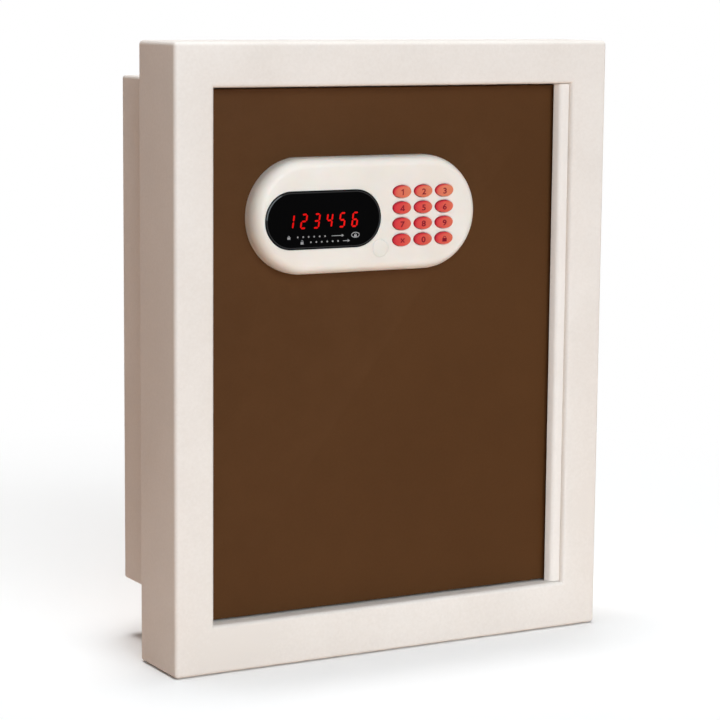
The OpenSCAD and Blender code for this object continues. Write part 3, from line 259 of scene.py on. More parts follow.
def use(tree, effect, **values):
    made = tree.nodes.new("ShaderNodeGroup")
    made.node_tree = effect
    for name, value in values.items():
        made.inputs[name].default_value = value
    return made.outputs


def new_material(name):
    made = bpy.data.materials.new(name)
    made.use_nodes = True
    return made, made.node_tree, made.node_tree.nodes["Principled BSDF"]


def two_tones(tree, mask, low, high, target, start=0.3, end=0.7):
    """Colour that goes from one tone to another as the mask rises."""
    ramp = add(tree, "ShaderNodeValToRGB")
    for stop, place, colour in zip(ramp.color_ramp.elements, (start, end), (low, high)):
        stop.position = place
        stop.color = colour
    wire(tree, mask, ramp.inputs[0])
    if target:
        wire(tree, ramp.outputs[0], target)
    return ramp.outputs[0]


def spread(tree, mask, low, high, target):
    """A value that goes from low to high as the mask rises."""
    made = add(tree, "ShaderNodeMapRange", from_min=0.3, from_max=0.7, to_min=low, to_max=high)
    wire(tree, mask, made.inputs["Value"])
    wire(tree, made.outputs[0], target)


def relief(tree, height, shader, strength, depth):
    """Bumps of a depth in millimetres."""
    made = add(tree, "ShaderNodeBump", strength=strength, distance=depth * MM)
    wire(tree, height, made.inputs["Height"])
    wire(tree, made.outputs[0], shader.inputs["Normal"])


def over(tree, mask, under, top, target):
    """Lays one colour over another where the mask is high."""
    made = add(tree, "ShaderNodeMix", data_type="RGBA")
    made.inputs[7].default_value = top
    wire(tree, mask, made.inputs[0])
    wire(tree, under, made.inputs[6])
    wire(tree, made.outputs[2], target)


def coat_material(name, low, high, edge_wear_and_highlight_tone, rough, peel, depth, gloss):
    """Powder coat on sheet, paler on its outward edges, partly as rubbed wear and partly as a painted
    highlight.
    """
    made, tree, shader = new_material(name)
    coat = use(tree, SPRAYED, Peel=peel)
    edge_wear_and_highlight = use(tree, WORN_AND_HIGHLIT)
    colour = two_tones(tree, coat["Mottle"], tone(*low), tone(*high), None, start=0.58, end=0.98)
    # Outward edges take a paler tone: rubbed wear and a painted highlight together
    over(tree, edge_wear_and_highlight["WearAndHighlight"], colour, tone(*edge_wear_and_highlight_tone), shader.inputs["Base Color"])
    spread(tree, coat["Grit"], *rough, shader.inputs["Roughness"])
    relief(tree, coat["Height"], shader, strength=0.5, depth=depth)
    shader.inputs["Specular IOR Level"].default_value = gloss
    return made


def plastic_material(name, low, high, rough, grain, depth, through):
    """Moulded plastic or rubber; pale plastic lets a little warm light through."""
    made, tree, shader = new_material(name)
    skin = use(tree, MOULDED, Grain=grain)
    two_tones(tree, skin["Drift"], tone(*low), tone(*high), shader.inputs["Base Color"])
    spread(tree, skin["Drift"], *rough, shader.inputs["Roughness"])
    relief(tree, skin["Height"], shader, strength=0.5, depth=depth)
    shader.inputs["Subsurface Weight"].default_value = through
    shader.inputs["Subsurface Radius"].default_value = (1.0, 0.6, 0.45)
    shader.inputs["Subsurface Scale"].default_value = 0.003
    return made


def metal_material(name, low, high, rough, lines, run, depth):
    """Bare or plated metal with the lines of its making."""
    made, tree, shader = new_material(name)
    drawn = use(tree, DRAWN, Lines=lines, Run=run)
    two_tones(tree, drawn["Cloud"], tone(*low), tone(*high), shader.inputs["Base Color"])
    spread(tree, drawn["Lines"], *rough, shader.inputs["Roughness"])
    relief(tree, drawn["Lines"], shader, strength=0.35, depth=depth)
    shader.inputs["Metallic"].default_value = 1.0
    return made


def key_material():
    """Clear red silicone, with painted light and shade in its colour: crimson for painted shade along the
    upper left rim, orange for painted light to the right and in the upper rows.
    """
    made, tree, shader = new_material("key_red")
    glow = add(tree, "ShaderNodeAttribute", attribute_name="glow").outputs["Fac"]
    skin = use(tree, MOULDED, Grain=2400.0)
    # The glow attribute is painted light and shade: low values give crimson painted shade, high values orange
    # painted light
    ramp = add(tree, "ShaderNodeValToRGB")
    ramp.color_ramp.elements[0].color = tone(206, 4, 40)
    ramp.color_ramp.elements[1].color = tone(236, 130, 96)
    middle = ramp.color_ramp.elements.new(0.45)
    middle.color = tone(228, 58, 60)
    wire(tree, glow, ramp.inputs[0])
    wire(tree, ramp.outputs[0], shader.inputs["Base Color"])
    spread(tree, skin["Drift"], 0.36, 0.46, shader.inputs["Roughness"])
    relief(tree, skin["Height"], shader, strength=0.25, depth=0.03)
    shader.inputs["Specular IOR Level"].default_value = 0.2
    shader.inputs["Subsurface Weight"].default_value = 0.2
    shader.inputs["Subsurface Radius"].default_value = (0.8, 0.25, 0.2)
    shader.inputs["Subsurface Scale"].default_value = 0.001
    return made


def lit_material():
    """Lit bars of the figures, a little uneven."""
    made, tree, shader = new_material("lit_red")
    skin = use(tree, MOULDED, Grain=900.0)
    shader.inputs["Base Color"].default_value = tone(84, 2, 2)
    shader.inputs["Roughness"].default_value = 0.35
    shader.inputs["Specular IOR Level"].default_value = 0.04
    two_tones(tree, skin["Drift"], tone(236, 8, 6), tone(255, 26, 20), shader.inputs["Emission Color"])
    shader.inputs["Emission Strength"].default_value = 0.82
    return made


def lens_material(name, gloss):
    """Black window glass, with the faint waves of its moulding in the gloss."""
    made, tree, shader = new_material(name)
    skin = use(tree, MOULDED, Grain=300.0)
    two_tones(tree, skin["Drift"], tone(0, 0, 1), tone(2, 2, 3), shader.inputs["Base Color"])
    spread(tree, skin["Drift"], 0.05, 0.11, shader.inputs["Roughness"])
    shader.inputs["Specular IOR Level"].default_value = gloss
    return made


def print_material(name, low, high):
    """A thin printed ink, a little uneven."""
    made, tree, shader = new_material(name)
    skin = use(tree, MOULDED, Grain=3000.0)
    two_tones(tree, skin["Drift"], tone(*low), tone(*high), shader.inputs["Base Color"])
    spread(tree, skin["Drift"], 0.45, 0.6, shader.inputs["Roughness"])
    shader.inputs["Specular IOR Level"].default_value = 0.15
    return made


def felt_material():
    """Pressed felt: fibres that cross, and a soft nap."""
    made, tree, shader = new_material("grey_felt")
    place = add(tree, "ShaderNodeTexCoord").outputs["Object"]
    heights = []
    for turn in (0.35, -0.6):
        lay = add(tree, "ShaderNodeMapping")
        lay.inputs["Rotation"].default_value = (0, 0, turn)
        lay.inputs["Scale"].default_value = (300, 2400, 1200)
        fibres = add(tree, "ShaderNodeTexNoise", scale=1.0, detail=3.0, roughness=0.7)
        wire(tree, place, lay.inputs["Vector"])
        wire(tree, lay.outputs[0], fibres.inputs["Vector"])
        heights.append(fibres.outputs["Fac"])
    nap = blend_heights(tree, *heights, share=0.8)
    low, high = tone(44, 45, 47), tone(92, 93, 96)
    two_tones(tree, nap, low, high, shader.inputs["Base Color"], start=0.6, end=1.2)
    relief(tree, nap, shader, strength=0.9, depth=0.5)
    shader.inputs["Roughness"].default_value = 0.95
    shader.inputs["Sheen Weight"].default_value = 0.4
    shader.inputs["Sheen Roughness"].default_value = 0.5
    return made


# Name, low and high tone as seen from 0 to 255, tone of rubbed edges (wear and a painted highlight),
# roughness, peel, depth and gloss
COATS = (
    ("ivory_paint", (233, 224, 216), (240, 232, 225), (242, 235, 229), (0.42, 0.56), 420.0, 0.09, 0.4),
    ("brown_paint", (79, 49, 24), (84, 53, 27), (104, 72, 46), (0.55, 0.68), 520.0, 0.05, 0.07),
)
# Name, low and high tone, roughness, lines, run and depth
METALS = (
    ("plated_steel", (196, 197, 198), (222, 222, 220), (0.24, 0.38), 900.0, 1.0, 0.01),
    ("mild_steel", (150, 152, 156), (186, 187, 190), (0.32, 0.5), 1500.0, 0.03, 0.015),
    ("polished_steel", (206, 208, 211), (228, 229, 231), (0.1, 0.22), 2400.0, 0.6, 0.004),
    ("bronze", (104, 74, 44), (128, 94, 58), (0.42, 0.56), 1600.0, 0.6, 0.01),
    ("motor_steel", (176, 178, 181), (206, 207, 209), (0.2, 0.34), 1500.0, 0.02, 0.008),
    ("contact_nickel", (206, 203, 196), (226, 223, 216), (0.16, 0.3), 1200.0, 0.5, 0.006),
    ("blacked_steel", (30, 30, 32), (46, 46, 48), (0.5, 0.64), 1500.0, 0.5, 0.008),
)
# Name, low and high tone, roughness, grain, depth and the share of light let through
PLASTICS = (
    ("black_rubber", (20, 20, 21), (34, 34, 35), (0.72, 0.88), 1500.0, 0.06, 0.0),
    ("ivory_plastic", (238, 229, 219), (243, 235, 227), (0.36, 0.48), 2200.0, 0.025, 0.4),
    ("black_plastic", (22, 22, 24), (36, 36, 38), (0.4, 0.56), 1800.0, 0.04, 0.0),
    ("brown_plastic", (70, 45, 27), (82, 54, 33), (0.42, 0.56), 1700.0, 0.05, 0.0),
    ("pale_plastic", (222, 220, 212), (234, 232, 225), (0.34, 0.5), 1500.0, 0.03, 0.0),
    ("board_green", (18, 84, 48), (28, 100, 58), (0.22, 0.36), 700.0, 0.03, 0.0),
    ("cell_wrap", (26, 78, 58), (34, 90, 68), (0.18, 0.3), 500.0, 0.02, 0.0),
    ("lead_red", (160, 24, 20), (182, 34, 28), (0.4, 0.55), 1500.0, 0.03, 0.0),
    ("lead_black", (22, 22, 23), (34, 34, 35), (0.42, 0.58), 1500.0, 0.03, 0.0),
)
FINISH = {
    "grey_felt": felt_material(),
    "window_black": lens_material("window_black", gloss=0.02),
    "lit_red": lit_material(),
    "key_red": key_material(),
}
for make, rows in ((coat_material, COATS), (metal_material, METALS), (plastic_material, PLASTICS)):
    for row in rows:
        FINISH[row[0]] = make(*row)
LENS_EDGE = lens_material("window_bevel", gloss=0.34)
LEGEND_INK = print_material("legend_ink", (126, 2, 30), (142, 6, 38))
HINT_INK = print_material("hint_ink", (150, 150, 152), (178, 178, 180))


# Mesh tools

def block(x0, x1, y0, y1, z0, z1, bm=None):
    """A box between two corners, to be shaped further."""
    bm = bm or bmesh.new()
    centre = mm(x0 + x1, y0 + y1, z0 + z1) / 2
    size = Matrix.Diagonal((*mm(x1 - x0, y1 - y0, z1 - z0), 1))
    bmesh.ops.create_cube(bm, size=1, matrix=Matrix.Translation(centre) @ size)
    return bm


def rod(bm, start, end, radius, end_radius=None, segments=40):
    """A round cutter, which may taper."""
    a, b = mm(*start), mm(*end)
    turn = (b - a).to_track_quat("Z", "Y").to_matrix().to_4x4()
    bmesh.ops.create_cone(bm, cap_ends=True, segments=segments, radius1=radius * MM,
                          radius2=(end_radius or radius) * MM, depth=(b - a).length,
                          matrix=Matrix.Translation((a + b) / 2) @ turn)


def near(value, target):
    return abs(value / MM - target) < 0.01


def edges_where(bm, test):
    return [e for e in bm.edges if all(test(v.co) for v in e.verts)]


def soften(bm, edges, radius, segments):
    bmesh.ops.bevel(bm, geom=edges, offset=radius * MM, offset_type="OFFSET", segments=segments,
                    profile=0.5, affect="EDGES", clamp_overlap=False, material=-1)


def points_in(geometry):
    return [part for part in geometry if isinstance(part, bmesh.types.BMVert)]


def edges_in(geometry):
    return [part for part in geometry if isinstance(part, bmesh.types.BMEdge)]


def faces_in(geometry):
    return [part for part in geometry if isinstance(part, bmesh.types.BMFace)]


def pull(bm, edges, x=0.0, y=0.0, z=0.0):
    """Carries an open edge on, and gives the edges of its new end."""
    made = bmesh.ops.extrude_edge_only(bm, edges=edges)["geom"]
    bmesh.ops.translate(bm, verts=points_in(made), vec=mm(x, y, z))
    return edges_in(made)


def ends_of(edges):
    return list({v for e in edges for v in e.verts})


def face_out(bm, towards):
    """Turns a sheet so that its most forward face looks along the given way."""
    bmesh.ops.recalc_face_normals(bm, faces=bm.faces)
    lead = max(bm.faces, key=lambda f: f.calc_center_median().dot(towards) + f.calc_area())
    if lead.normal.dot(towards) < 0:
        bmesh.ops.reverse_faces(bm, faces=bm.faces)


def new_object(name, bm):
    mesh = bpy.data.meshes.new(name)
    bm.to_mesh(mesh)
    bm.free()
    made = bpy.data.objects.new(name, mesh)
    bpy.context.scene.collection.objects.link(made)
    return made


def settle(piece):
    """Makes a piece's modifiers part of its mesh."""
    dg = bpy.context.evaluated_depsgraph_get()
    made = bpy.data.meshes.new_from_object(piece.evaluated_get(dg))
    old = piece.data
    piece.modifiers.clear()
    piece.data = made
    made.name = piece.name
    bpy.data.meshes.remove(old)


def thicken(piece, sheet):
    """Makes a sheet of a surface, behind its outer face."""
    made = piece.modifiers.new("sheet", "SOLIDIFY")
    made.thickness = sheet * MM
    made.offset = -1
    made.use_even_offset = True
    settle(piece)


def cut(piece, bm):
    cutter = new_object(piece.name + "_cutter", bm)
    made = piece.modifiers.new("cut", "BOOLEAN")
    made.operation = "DIFFERENCE"
    made.solver = "EXACT"
    made.object = cutter
    settle(piece)
    mesh = cutter.data
    bpy.data.objects.remove(cutter)
    bpy.data.meshes.remove(mesh)


def dress(piece, body, slot, replaced, extra=(), angle=32):
    """Gives a piece its finishes, its body and the CAD nodes that it stands for."""
    for finish in (FINISH[slot], *extra):
        piece.data.materials.append(finish)
    piece.data.shade_smooth()
    piece.data.set_sharp_from_angle(angle=math.radians(angle))
    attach(piece, body)
    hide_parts(*replaced)


# The surround and the case

def surround_shell():
    """One sheet: the face, the jambs of its opening, its sides and the flange round the case."""
    bm = bmesh.new()
    bmesh.ops.create_grid(bm, x_segments=1, y_segments=1, size=0.5)
    bmesh.ops.rotate(bm, verts=bm.verts, matrix=Matrix.Rotation(math.radians(90), 3, "X"))
    bmesh.ops.scale(bm, verts=bm.verts, vec=mm(2 * FRAME_X, 0, 2 * FRAME_Z))
    bmesh.ops.translate(bm, verts=bm.verts, vec=mm(0, FRONT, 0))
    middle = bm.faces[:]
    bmesh.ops.inset_region(bm, faces=middle, thickness=(FRAME_X - OPEN_X) * MM, use_boundary=True,
                           use_even_offset=True)
    for v in middle[0].verts:
        v.co.z = (OPEN_HIGH if v.co.z > 0 else OPEN_LOW) * MM
    inner = list(middle[0].edges)
    bmesh.ops.delete(bm, geom=middle, context="FACES_ONLY")
    pull(bm, inner, y=JAMB_BACK - FRONT)
    outer = edges_where(bm, lambda p: abs(p.x) > (OPEN_X + PAST) * MM and near(p.y, FRONT))
    rear = pull(bm, [e for e in outer if len(e.link_faces) == 1], y=WALL - FRONT)
    hole = ends_of(pull(bm, rear))
    wide = (CASE_X + CASE_PLAY) / FRAME_X
    tall = ((CASE_HIGH - CASE_LOW) / 2 + CASE_PLAY) / FRAME_Z
    bmesh.ops.scale(bm, verts=hole, vec=(wide, 1, tall))
    bmesh.ops.translate(bm, verts=hole, vec=mm(0, 0, CASE_MID))
    outer = edges_where(bm, lambda p: near(abs(p.x), FRAME_X))
    soften(bm, outer, FRAME_ROUND, segments=6)
    inner = edges_where(bm, lambda p: near(p.y, FRONT) and abs(p.x) < (OPEN_X + PAST) * MM)
    soften(bm, inner, OPEN_ROUND, segments=7)
    face_out(bm, Vector((0, -1, 0)))
    shell = new_object("surround_shell", bm)
    thicken(shell, SHEET)
    holes = bmesh.new()
    for z in BOLT_HEIGHTS:
        block(-OPEN_X - BOLT_WINDOW_DEEP, -OPEN_X + PAST, BOLT_WINDOW_FRONT, JAMB_BACK + PAST,
              z - BOLT_WINDOW, z + BOLT_WINDOW, holes)
    for z in STRIKE_SCREWS:
        head = (-OPEN_X + STRIKE_SINK, BOLT_Y, z)
        shank = (-OPEN_X - SHEET - STRIKE_SINK, BOLT_Y, z)
        rod(holes, head, shank, STRIKE_HEAD, STRIKE_SHANK)
    start, end = OPEN_X - PAST, OPEN_X + 2 * SHEET
    for z in STRIP_SCREWS:
        rod(holes, (start, STRIP_SCREW_Y, z), (end, STRIP_SCREW_Y, z), SCREW_HOLE)
    reach = SHEET + PAST
    for z in (OPEN_LOW - SHEET / 2, OPEN_HIGH + SHEET / 2):
        rod(holes, (PIVOT_X, PIVOT_Y, z - reach), (PIVOT_X, PIVOT_Y, z + reach), BUSH_HOLE)
    for x, z in CASE_SCREWS:
        rod(holes, (x, WALL - reach, z), (x, WALL + PAST, z), SCREW_HOLE)
    cut(shell, holes)
    dress(shell, "surround", "ivory_paint", ["front_frame", "back_ring", "strike_jamb"])


def case_shell():
    """A sheet box with a flange round its mouth, which screws to the surround."""
    bm = block(-CASE_X, CASE_X, -SHEET, CASE_BACK, CASE_LOW, CASE_HIGH)
    lid = [f for f in bm.faces if near(f.calc_center_median().y, -SHEET)]
    bmesh.ops.delete(bm, geom=lid, context="FACES_ONLY")
    mouth = edges_where(bm, lambda p: near(p.y, -SHEET))
    soften(bm, [e for e in bm.edges if e not in mouth], CASE_ROUND, segments=5)
    flange = ends_of(pull(bm, edges_where(bm, lambda p: near(p.y, -SHEET))))
    bmesh.ops.translate(bm, verts=flange, vec=mm(0, 0, -CASE_MID))
    tall = (CASE_HIGH - CASE_LOW) / 2
    bmesh.ops.scale(bm, verts=flange, vec=((CASE_X + FLANGE) / CASE_X, 1, (tall + FLANGE) / tall))
    bmesh.ops.translate(bm, verts=flange, vec=mm(0, 0, CASE_MID))
    face_out(bm, Vector((0, 1, 0)))
    shell = new_object("case_shell", bm)
    thicken(shell, SHEET)
    holes = bmesh.new()
    reach = 2 * SHEET
    for z in (CASE_MID - FIXING_RISE, CASE_MID + FIXING_RISE):
        for x in (-CASE_X, CASE_X):
            rod(holes, (x - reach, STUD_Y, z), (x + reach, STUD_Y, z), STUD_HOLE)
        for x in (-ANCHOR_X, ANCHOR_X):
            rod(holes, (x, CASE_BACK - reach, z), (x, CASE_BACK + SHEET, z), ANCHOR_HOLE)
    for x, z in CASE_SCREWS:
        rod(holes, (x, WALL - SHEET - reach, z), (x, WALL, z), SCREW_HOLE)
    cut(shell, holes)
    dress(shell, "surround", "ivory_paint", ["rear_case"])


def hinge_cover():
    """A folded strip whose left edge is a sloped lip, with the web set back under it."""
    low, high = OPEN_LOW + STRIP_END, OPEN_HIGH - STRIP_END
    fold_x = STRIP_LEFT + STRIP_SLOPE
    outline = ((STRIP_WEB, STRIP_BACK), (STRIP_WEB, STRIP_LIP_BACK), (STRIP_LEFT, STRIP_LIP_BACK),
               (fold_x, STRIP_FRONT), (OPEN_X, STRIP_FRONT), (OPEN_X, STRIP_BACK))
    bm = bmesh.new()
    points = [bm.verts.new(mm(x, y, low)) for x, y in outline]
    line = [bm.edges.new(pair) for pair in zip(points, points[1:])]
    pull(bm, line, z=high - low)
    for x, y, radius, segments in ((fold_x, STRIP_FRONT, STRIP_FOLD_ROUND, 8),
                                   (STRIP_LEFT, STRIP_LIP_BACK, STRIP_LIP_ROUND, 4),
                                   (OPEN_X, STRIP_FRONT, STRIP_EDGE_ROUND, 3)):
        soften(bm, edges_where(bm, lambda p: near(p.x, x) and near(p.y, y)), radius, segments)
    face_out(bm, Vector((0, -1, 0)))
    cover = new_object("hinge_cover", bm)
    thicken(cover, STRIP_SHEET)
    holes = bmesh.new()
    start, end = OPEN_X - 2 * STRIP_SHEET, OPEN_X + SHEET
    for z in STRIP_SCREWS:
        rod(holes, (start, STRIP_SCREW_Y, z), (end, STRIP_SCREW_Y, z), SCREW_HOLE)
    cut(cover, holes)
    dress(cover, "surround", "ivory_paint", ["hinge_strip"])


def floor_felt():
    """A cut piece of felt that lies on the case's floor, not quite flat and with a soft edge."""
    bm = bmesh.new()
    bmesh.ops.create_grid(bm, x_segments=87, y_segments=20, size=0.5)
    bmesh.ops.scale(bm, verts=bm.verts, vec=mm(FELT_W, FELT_D, 0))
    bmesh.ops.translate(bm, verts=bm.verts, vec=mm(0, FELT_Y, FELT_BASE))
    top = points_in(bmesh.ops.extrude_face_region(bm, geom=bm.faces[:])["geom"])
    bmesh.ops.translate(bm, verts=top, vec=mm(0, 0, FELT_THICK))
    for v in top:
        v.co.z += sum(tall * noise.noise(v.co * count) for tall, count in FELT_WAVES) * MM
    bmesh.ops.recalc_face_normals(bm, faces=bm.faces)
    upper = edges_where(bm, lambda p: p.z > (FELT_BASE + FELT_THICK / 2) * MM)
    rim = [e for e in upper if len(e.link_faces) == 2 and e.calc_face_angle() > 1]
    soften(bm, rim, FELT_EDGE, segments=3)
    felt = new_object("floor_felt", bm)
    dress(felt, "surround", "grey_felt", ["floor_mat"], angle=50)


# The door and its keypad

def door_plate():
    """The flat face of the door, with holes for the keypad's posts and its leads."""
    bm = block(DOOR_LEFT, DOOR_RIGHT, DOOR_FACE, DOOR_BACK, OPEN_LOW + DOOR_GAP, OPEN_HIGH - DOOR_GAP)
    soften(bm, bm.edges[:], DOOR_ROUND, segments=4)
    plate = new_object("door_plate", bm)
    holes = bmesh.new()
    places = [(PAD_X + x, PAD_Z + z, POST_HOLE) for x in (-POST_X, POST_X) for z in (-POST_Z, POST_Z)]
    places.append((PAD_X, PAD_Z + GROMMET_Z, GROMMET_HOLE))
    for x, z, radius in places:
        rod(holes, (x, DOOR_FACE - PAST, z), (x, DOOR_BACK + PAST, z), radius)
    cut(plate, holes)
    dress(plate, "door", "brown_paint", ["door_panel"])


def pill(x, z, width, height, front, back, segments=22):
    """A flat bar with round ends."""
    bm = block(x - width / 2, x + width / 2, front, back, z - height / 2, z + height / 2)
    corners = [e for e in bm.edges if abs((e.verts[0].co - e.verts[1].co).normalized().y) > 0.9]
    soften(bm, corners, height / 2 - ARC_GAP, segments)
    bmesh.ops.remove_doubles(bm, verts=bm.verts, dist=3 * ARC_GAP * MM)
    return bm


def oval(bm, x, z, half_w, half_h, near_y, far_y, flare=0.0):
    """A cutter of a key's outline, which may widen towards the room."""
    turn = Matrix.Rotation(math.radians(90), 4, "X")
    shape = Matrix.Diagonal(((half_w + flare) * MM, 1, (half_h + flare) * MM, 1))
    place = Matrix.Translation(mm(x, (near_y + far_y) / 2, z))
    bmesh.ops.create_cone(bm, cap_ends=True, segments=64, radius1=half_w / (half_w + flare), radius2=1,
                          depth=(far_y - near_y) * MM, matrix=place @ shape @ turn)


def key_places():
    for row, labels in enumerate(KEY_ROWS):
        for column, label in enumerate(labels):
            yield label, KEYS_X + (column - 1) * KEY_STEP_X, KEYS_Z + (1.5 - row) * KEY_STEP_Z


def keypad_shell():
    """A hollow pill with a deep soft edge, a seat for the window and flared holes for the keys."""
    deep = PAD_EDGE_DEEP / PAD_EDGE_WIDE
    back = PAD_FRONT + (DOOR_FACE - PAD_FRONT) / deep
    bm = pill(PAD_X, PAD_Z, PAD_W, PAD_H, PAD_FRONT, back, segments=28)
    bmesh.ops.delete(bm, geom=[f for f in bm.faces if f.normal.y > 0.9], context="FACES_ONLY")
    soften(bm, edges_where(bm, lambda p: near(p.y, PAD_FRONT)), PAD_EDGE_WIDE, segments=12)
    bmesh.ops.scale(bm, verts=bm.verts, vec=(1, deep, 1), space=Matrix.Translation(-mm(0, PAD_FRONT, 0)))
    face_out(bm, Vector((0, -1, 0)))
    shell = new_object("keypad_shell", bm)
    thicken(shell, PAD_WALL)
    ahead, behind = PAD_FRONT - 2 * PAST, PAD_FRONT + 2 * PAD_WALL
    holes = pill(LENS_X, LENS_Z, LENS_W + LENS_PLAY, LENS_H + LENS_PLAY, ahead, PAD_FRONT + LENS_SEAT)
    for _, x, z in key_places():
        oval(holes, x, z, KEY_HALF_W + KEY_PLAY, KEY_HALF_H + KEY_PLAY, ahead, behind)
    rod(holes, (CAP_X, ahead, CAP_Z), (CAP_X, behind, CAP_Z), CAP_R + CAP_PLAY, segments=64)
    cut(shell, holes)
    holes = pill(LENS_X, LENS_Z, LENS_W - 2 * LENS_LEDGE, LENS_H - 2 * LENS_LEDGE, PAD_FRONT + PAST, behind)
    for _, x, z in key_places():
        oval(holes, x, z, KEY_HALF_W + KEY_FLARE_PLAY, KEY_HALF_H + KEY_FLARE_PLAY,
             PAD_FRONT - PAST / 2, PAD_FRONT + PAST / 2, flare=KEY_FLARE)
    cut(shell, holes)
    dress(shell, "door", "ivory_plastic", ["keypad_housing"], angle=28)


def face_room(bm):
    """Turns flat marks to face the room."""
    bm.normal_update()
    bmesh.ops.reverse_faces(bm, faces=[f for f in bm.faces if f.normal.y > 0])


def inlay(piece, marks, index):
    """Gives flat marks a little depth into the piece, and adds them to it with their own ink."""
    made = bmesh.ops.extrude_face_region(marks, geom=marks.faces[:])["geom"]
    bmesh.ops.translate(marks, verts=points_in(made), vec=mm(0, INK_DEPTH, 0))
    bmesh.ops.recalc_face_normals(marks, faces=marks.faces)
    for f in marks.faces:
        f.material_index = index
    mesh = bpy.data.meshes.new("marks")
    marks.to_mesh(mesh)
    marks.free()
    piece.from_mesh(mesh)
    bpy.data.meshes.remove(mesh)


def upright(x, z, width=1.0, height=1.0, turn=0.0):
    """Stands a flat shape up to face the room."""
    return (Matrix.Translation(mm(x, 0, z)) @ Matrix.Rotation(math.radians(turn), 4, "Y")
            @ Matrix.Rotation(math.radians(90), 4, "X") @ Matrix.Diagonal((width * MM, height * MM, 1, 1)))


def bar(bm, x, z, width, height, turn=0.0):
    bmesh.ops.create_grid(bm, x_segments=4, y_segments=2, size=0.5, matrix=upright(x, z, width, height, turn))


def shackle(bm, x, z, inner, outer, leg, shut):
    """Half a ring on two legs, one of them lifted out when it is open."""
    a = bm.verts.new(mm(x + inner, 0, z))
    b = bm.verts.new(mm(x + outer, 0, z))
    edge = bm.edges.new((a, b))
    made = bmesh.ops.spin(bm, geom=[a, b, edge], cent=mm(x, 0, z), axis=(0, -1, 0), angle=math.pi, steps=14)
    pull(bm, [edge], z=-leg)
    if shut:
        pull(bm, edges_in(made["geom_last"]), z=-leg)


def padlock(bm, x, z, size, shut=True):
    """A body with a shackle, in shares of its size."""
    rise = 0.16 if shut else 0.3
    inner, outer, hidden = 0.2, 0.31, 0.06
    drop, wide, tall = 0.2, 0.86, 0.62
    shackle(bm, x, z + rise * size, inner * size, outer * size, (rise - hidden) * size, shut)
    bar(bm, x, z - drop * size, wide * size, tall * size)


def arrow(bm, x, z, length):
    bar(bm, x, z, length, ARROW_LINE)
    head = upright(x + length / 2, z, ARROW_HEAD, ARROW_HEAD, turn=90)
    bmesh.ops.create_circle(bm, cap_ends=True, segments=3, radius=1, matrix=head)


def dots(bm, x, z):
    for k in range(DOTS):
        place = upright(x + (k - (DOTS - 1) / 2) * DOT_STEP, z)
        bmesh.ops.create_circle(bm, cap_ends=True, segments=20, radius=DOT_R, matrix=place)


def key_ring(bm, x, z):
    """The outline of a key, drawn as an oval ring."""
    place = upright(x, z, HINT_KEY_W, HINT_KEY_H)
    made = bmesh.ops.create_circle(bm, cap_ends=True, segments=40, radius=1, matrix=place)
    face = made["verts"][0].link_faces[0]
    bmesh.ops.inset_region(bm, faces=[face], thickness=HINT_KEY_LINE * MM, use_even_offset=True,
                           use_boundary=True)
    bmesh.ops.delete(bm, geom=[face], context="FACES")


def hint_marks():
    """Two rows of signs: a code and the lock key shut the door, and the same code opens it."""
    bm = bmesh.new()
    padlock(bm, LENS_X + SHUT_LOCK_X, HINT_UPPER, HINT_LOCK)
    dots(bm, LENS_X + SHUT_DOTS_X, HINT_UPPER)
    arrow(bm, LENS_X + SHUT_ARROW_X, HINT_UPPER, SHUT_ARROW)
    key_ring(bm, LENS_X + SHUT_KEY_X, HINT_UPPER)
    padlock(bm, LENS_X + SHUT_KEY_X, HINT_UPPER - HINT_KEY_DROP, HINT_KEY_LOCK)
    padlock(bm, LENS_X + FREE_LOCK_X, HINT_LOWER, HINT_LOCK, shut=False)
    dots(bm, LENS_X + FREE_DOTS_X, HINT_LOWER)
    arrow(bm, LENS_X + FREE_ARROW_X, HINT_LOWER, FREE_ARROW)
    for v in bm.verts:
        v.co.y = (LENS_FRONT - HINT_PROUD) * MM
    face_room(bm)
    return bm


def window_lens():
    """A black window with a flat border and a sloped edge, and two rows of signs below the figures."""
    back = PAD_FRONT + LENS_SEAT - LENS_GLUE
    bm = pill(LENS_X, LENS_Z, LENS_W, LENS_H, LENS_FRONT + LENS_STEP, back)
    bmesh.ops.recalc_face_normals(bm, faces=bm.faces)
    front = [f for f in bm.faces if f.normal.y < -0.9]
    rim = list(front[0].edges)
    bmesh.ops.inset_region(bm, faces=front, thickness=LENS_BORDER * MM, use_even_offset=True)
    slope = bmesh.ops.inset_region(bm, faces=front, thickness=LENS_BEVEL * MM, use_even_offset=True)
    for f in slope["faces"]:
        f.material_index = 1
    bmesh.ops.translate(bm, verts=list(front[0].verts), vec=mm(0, -LENS_STEP, 0))
    soften(bm, rim, LENS_ROUND, segments=2)
    inlay(bm, hint_marks(), 2)
    lens = new_object("window_lens", bm)
    dress(lens, "door", "window_black", ["display_window"], extra=(LENS_EDGE, HINT_INK), angle=12)


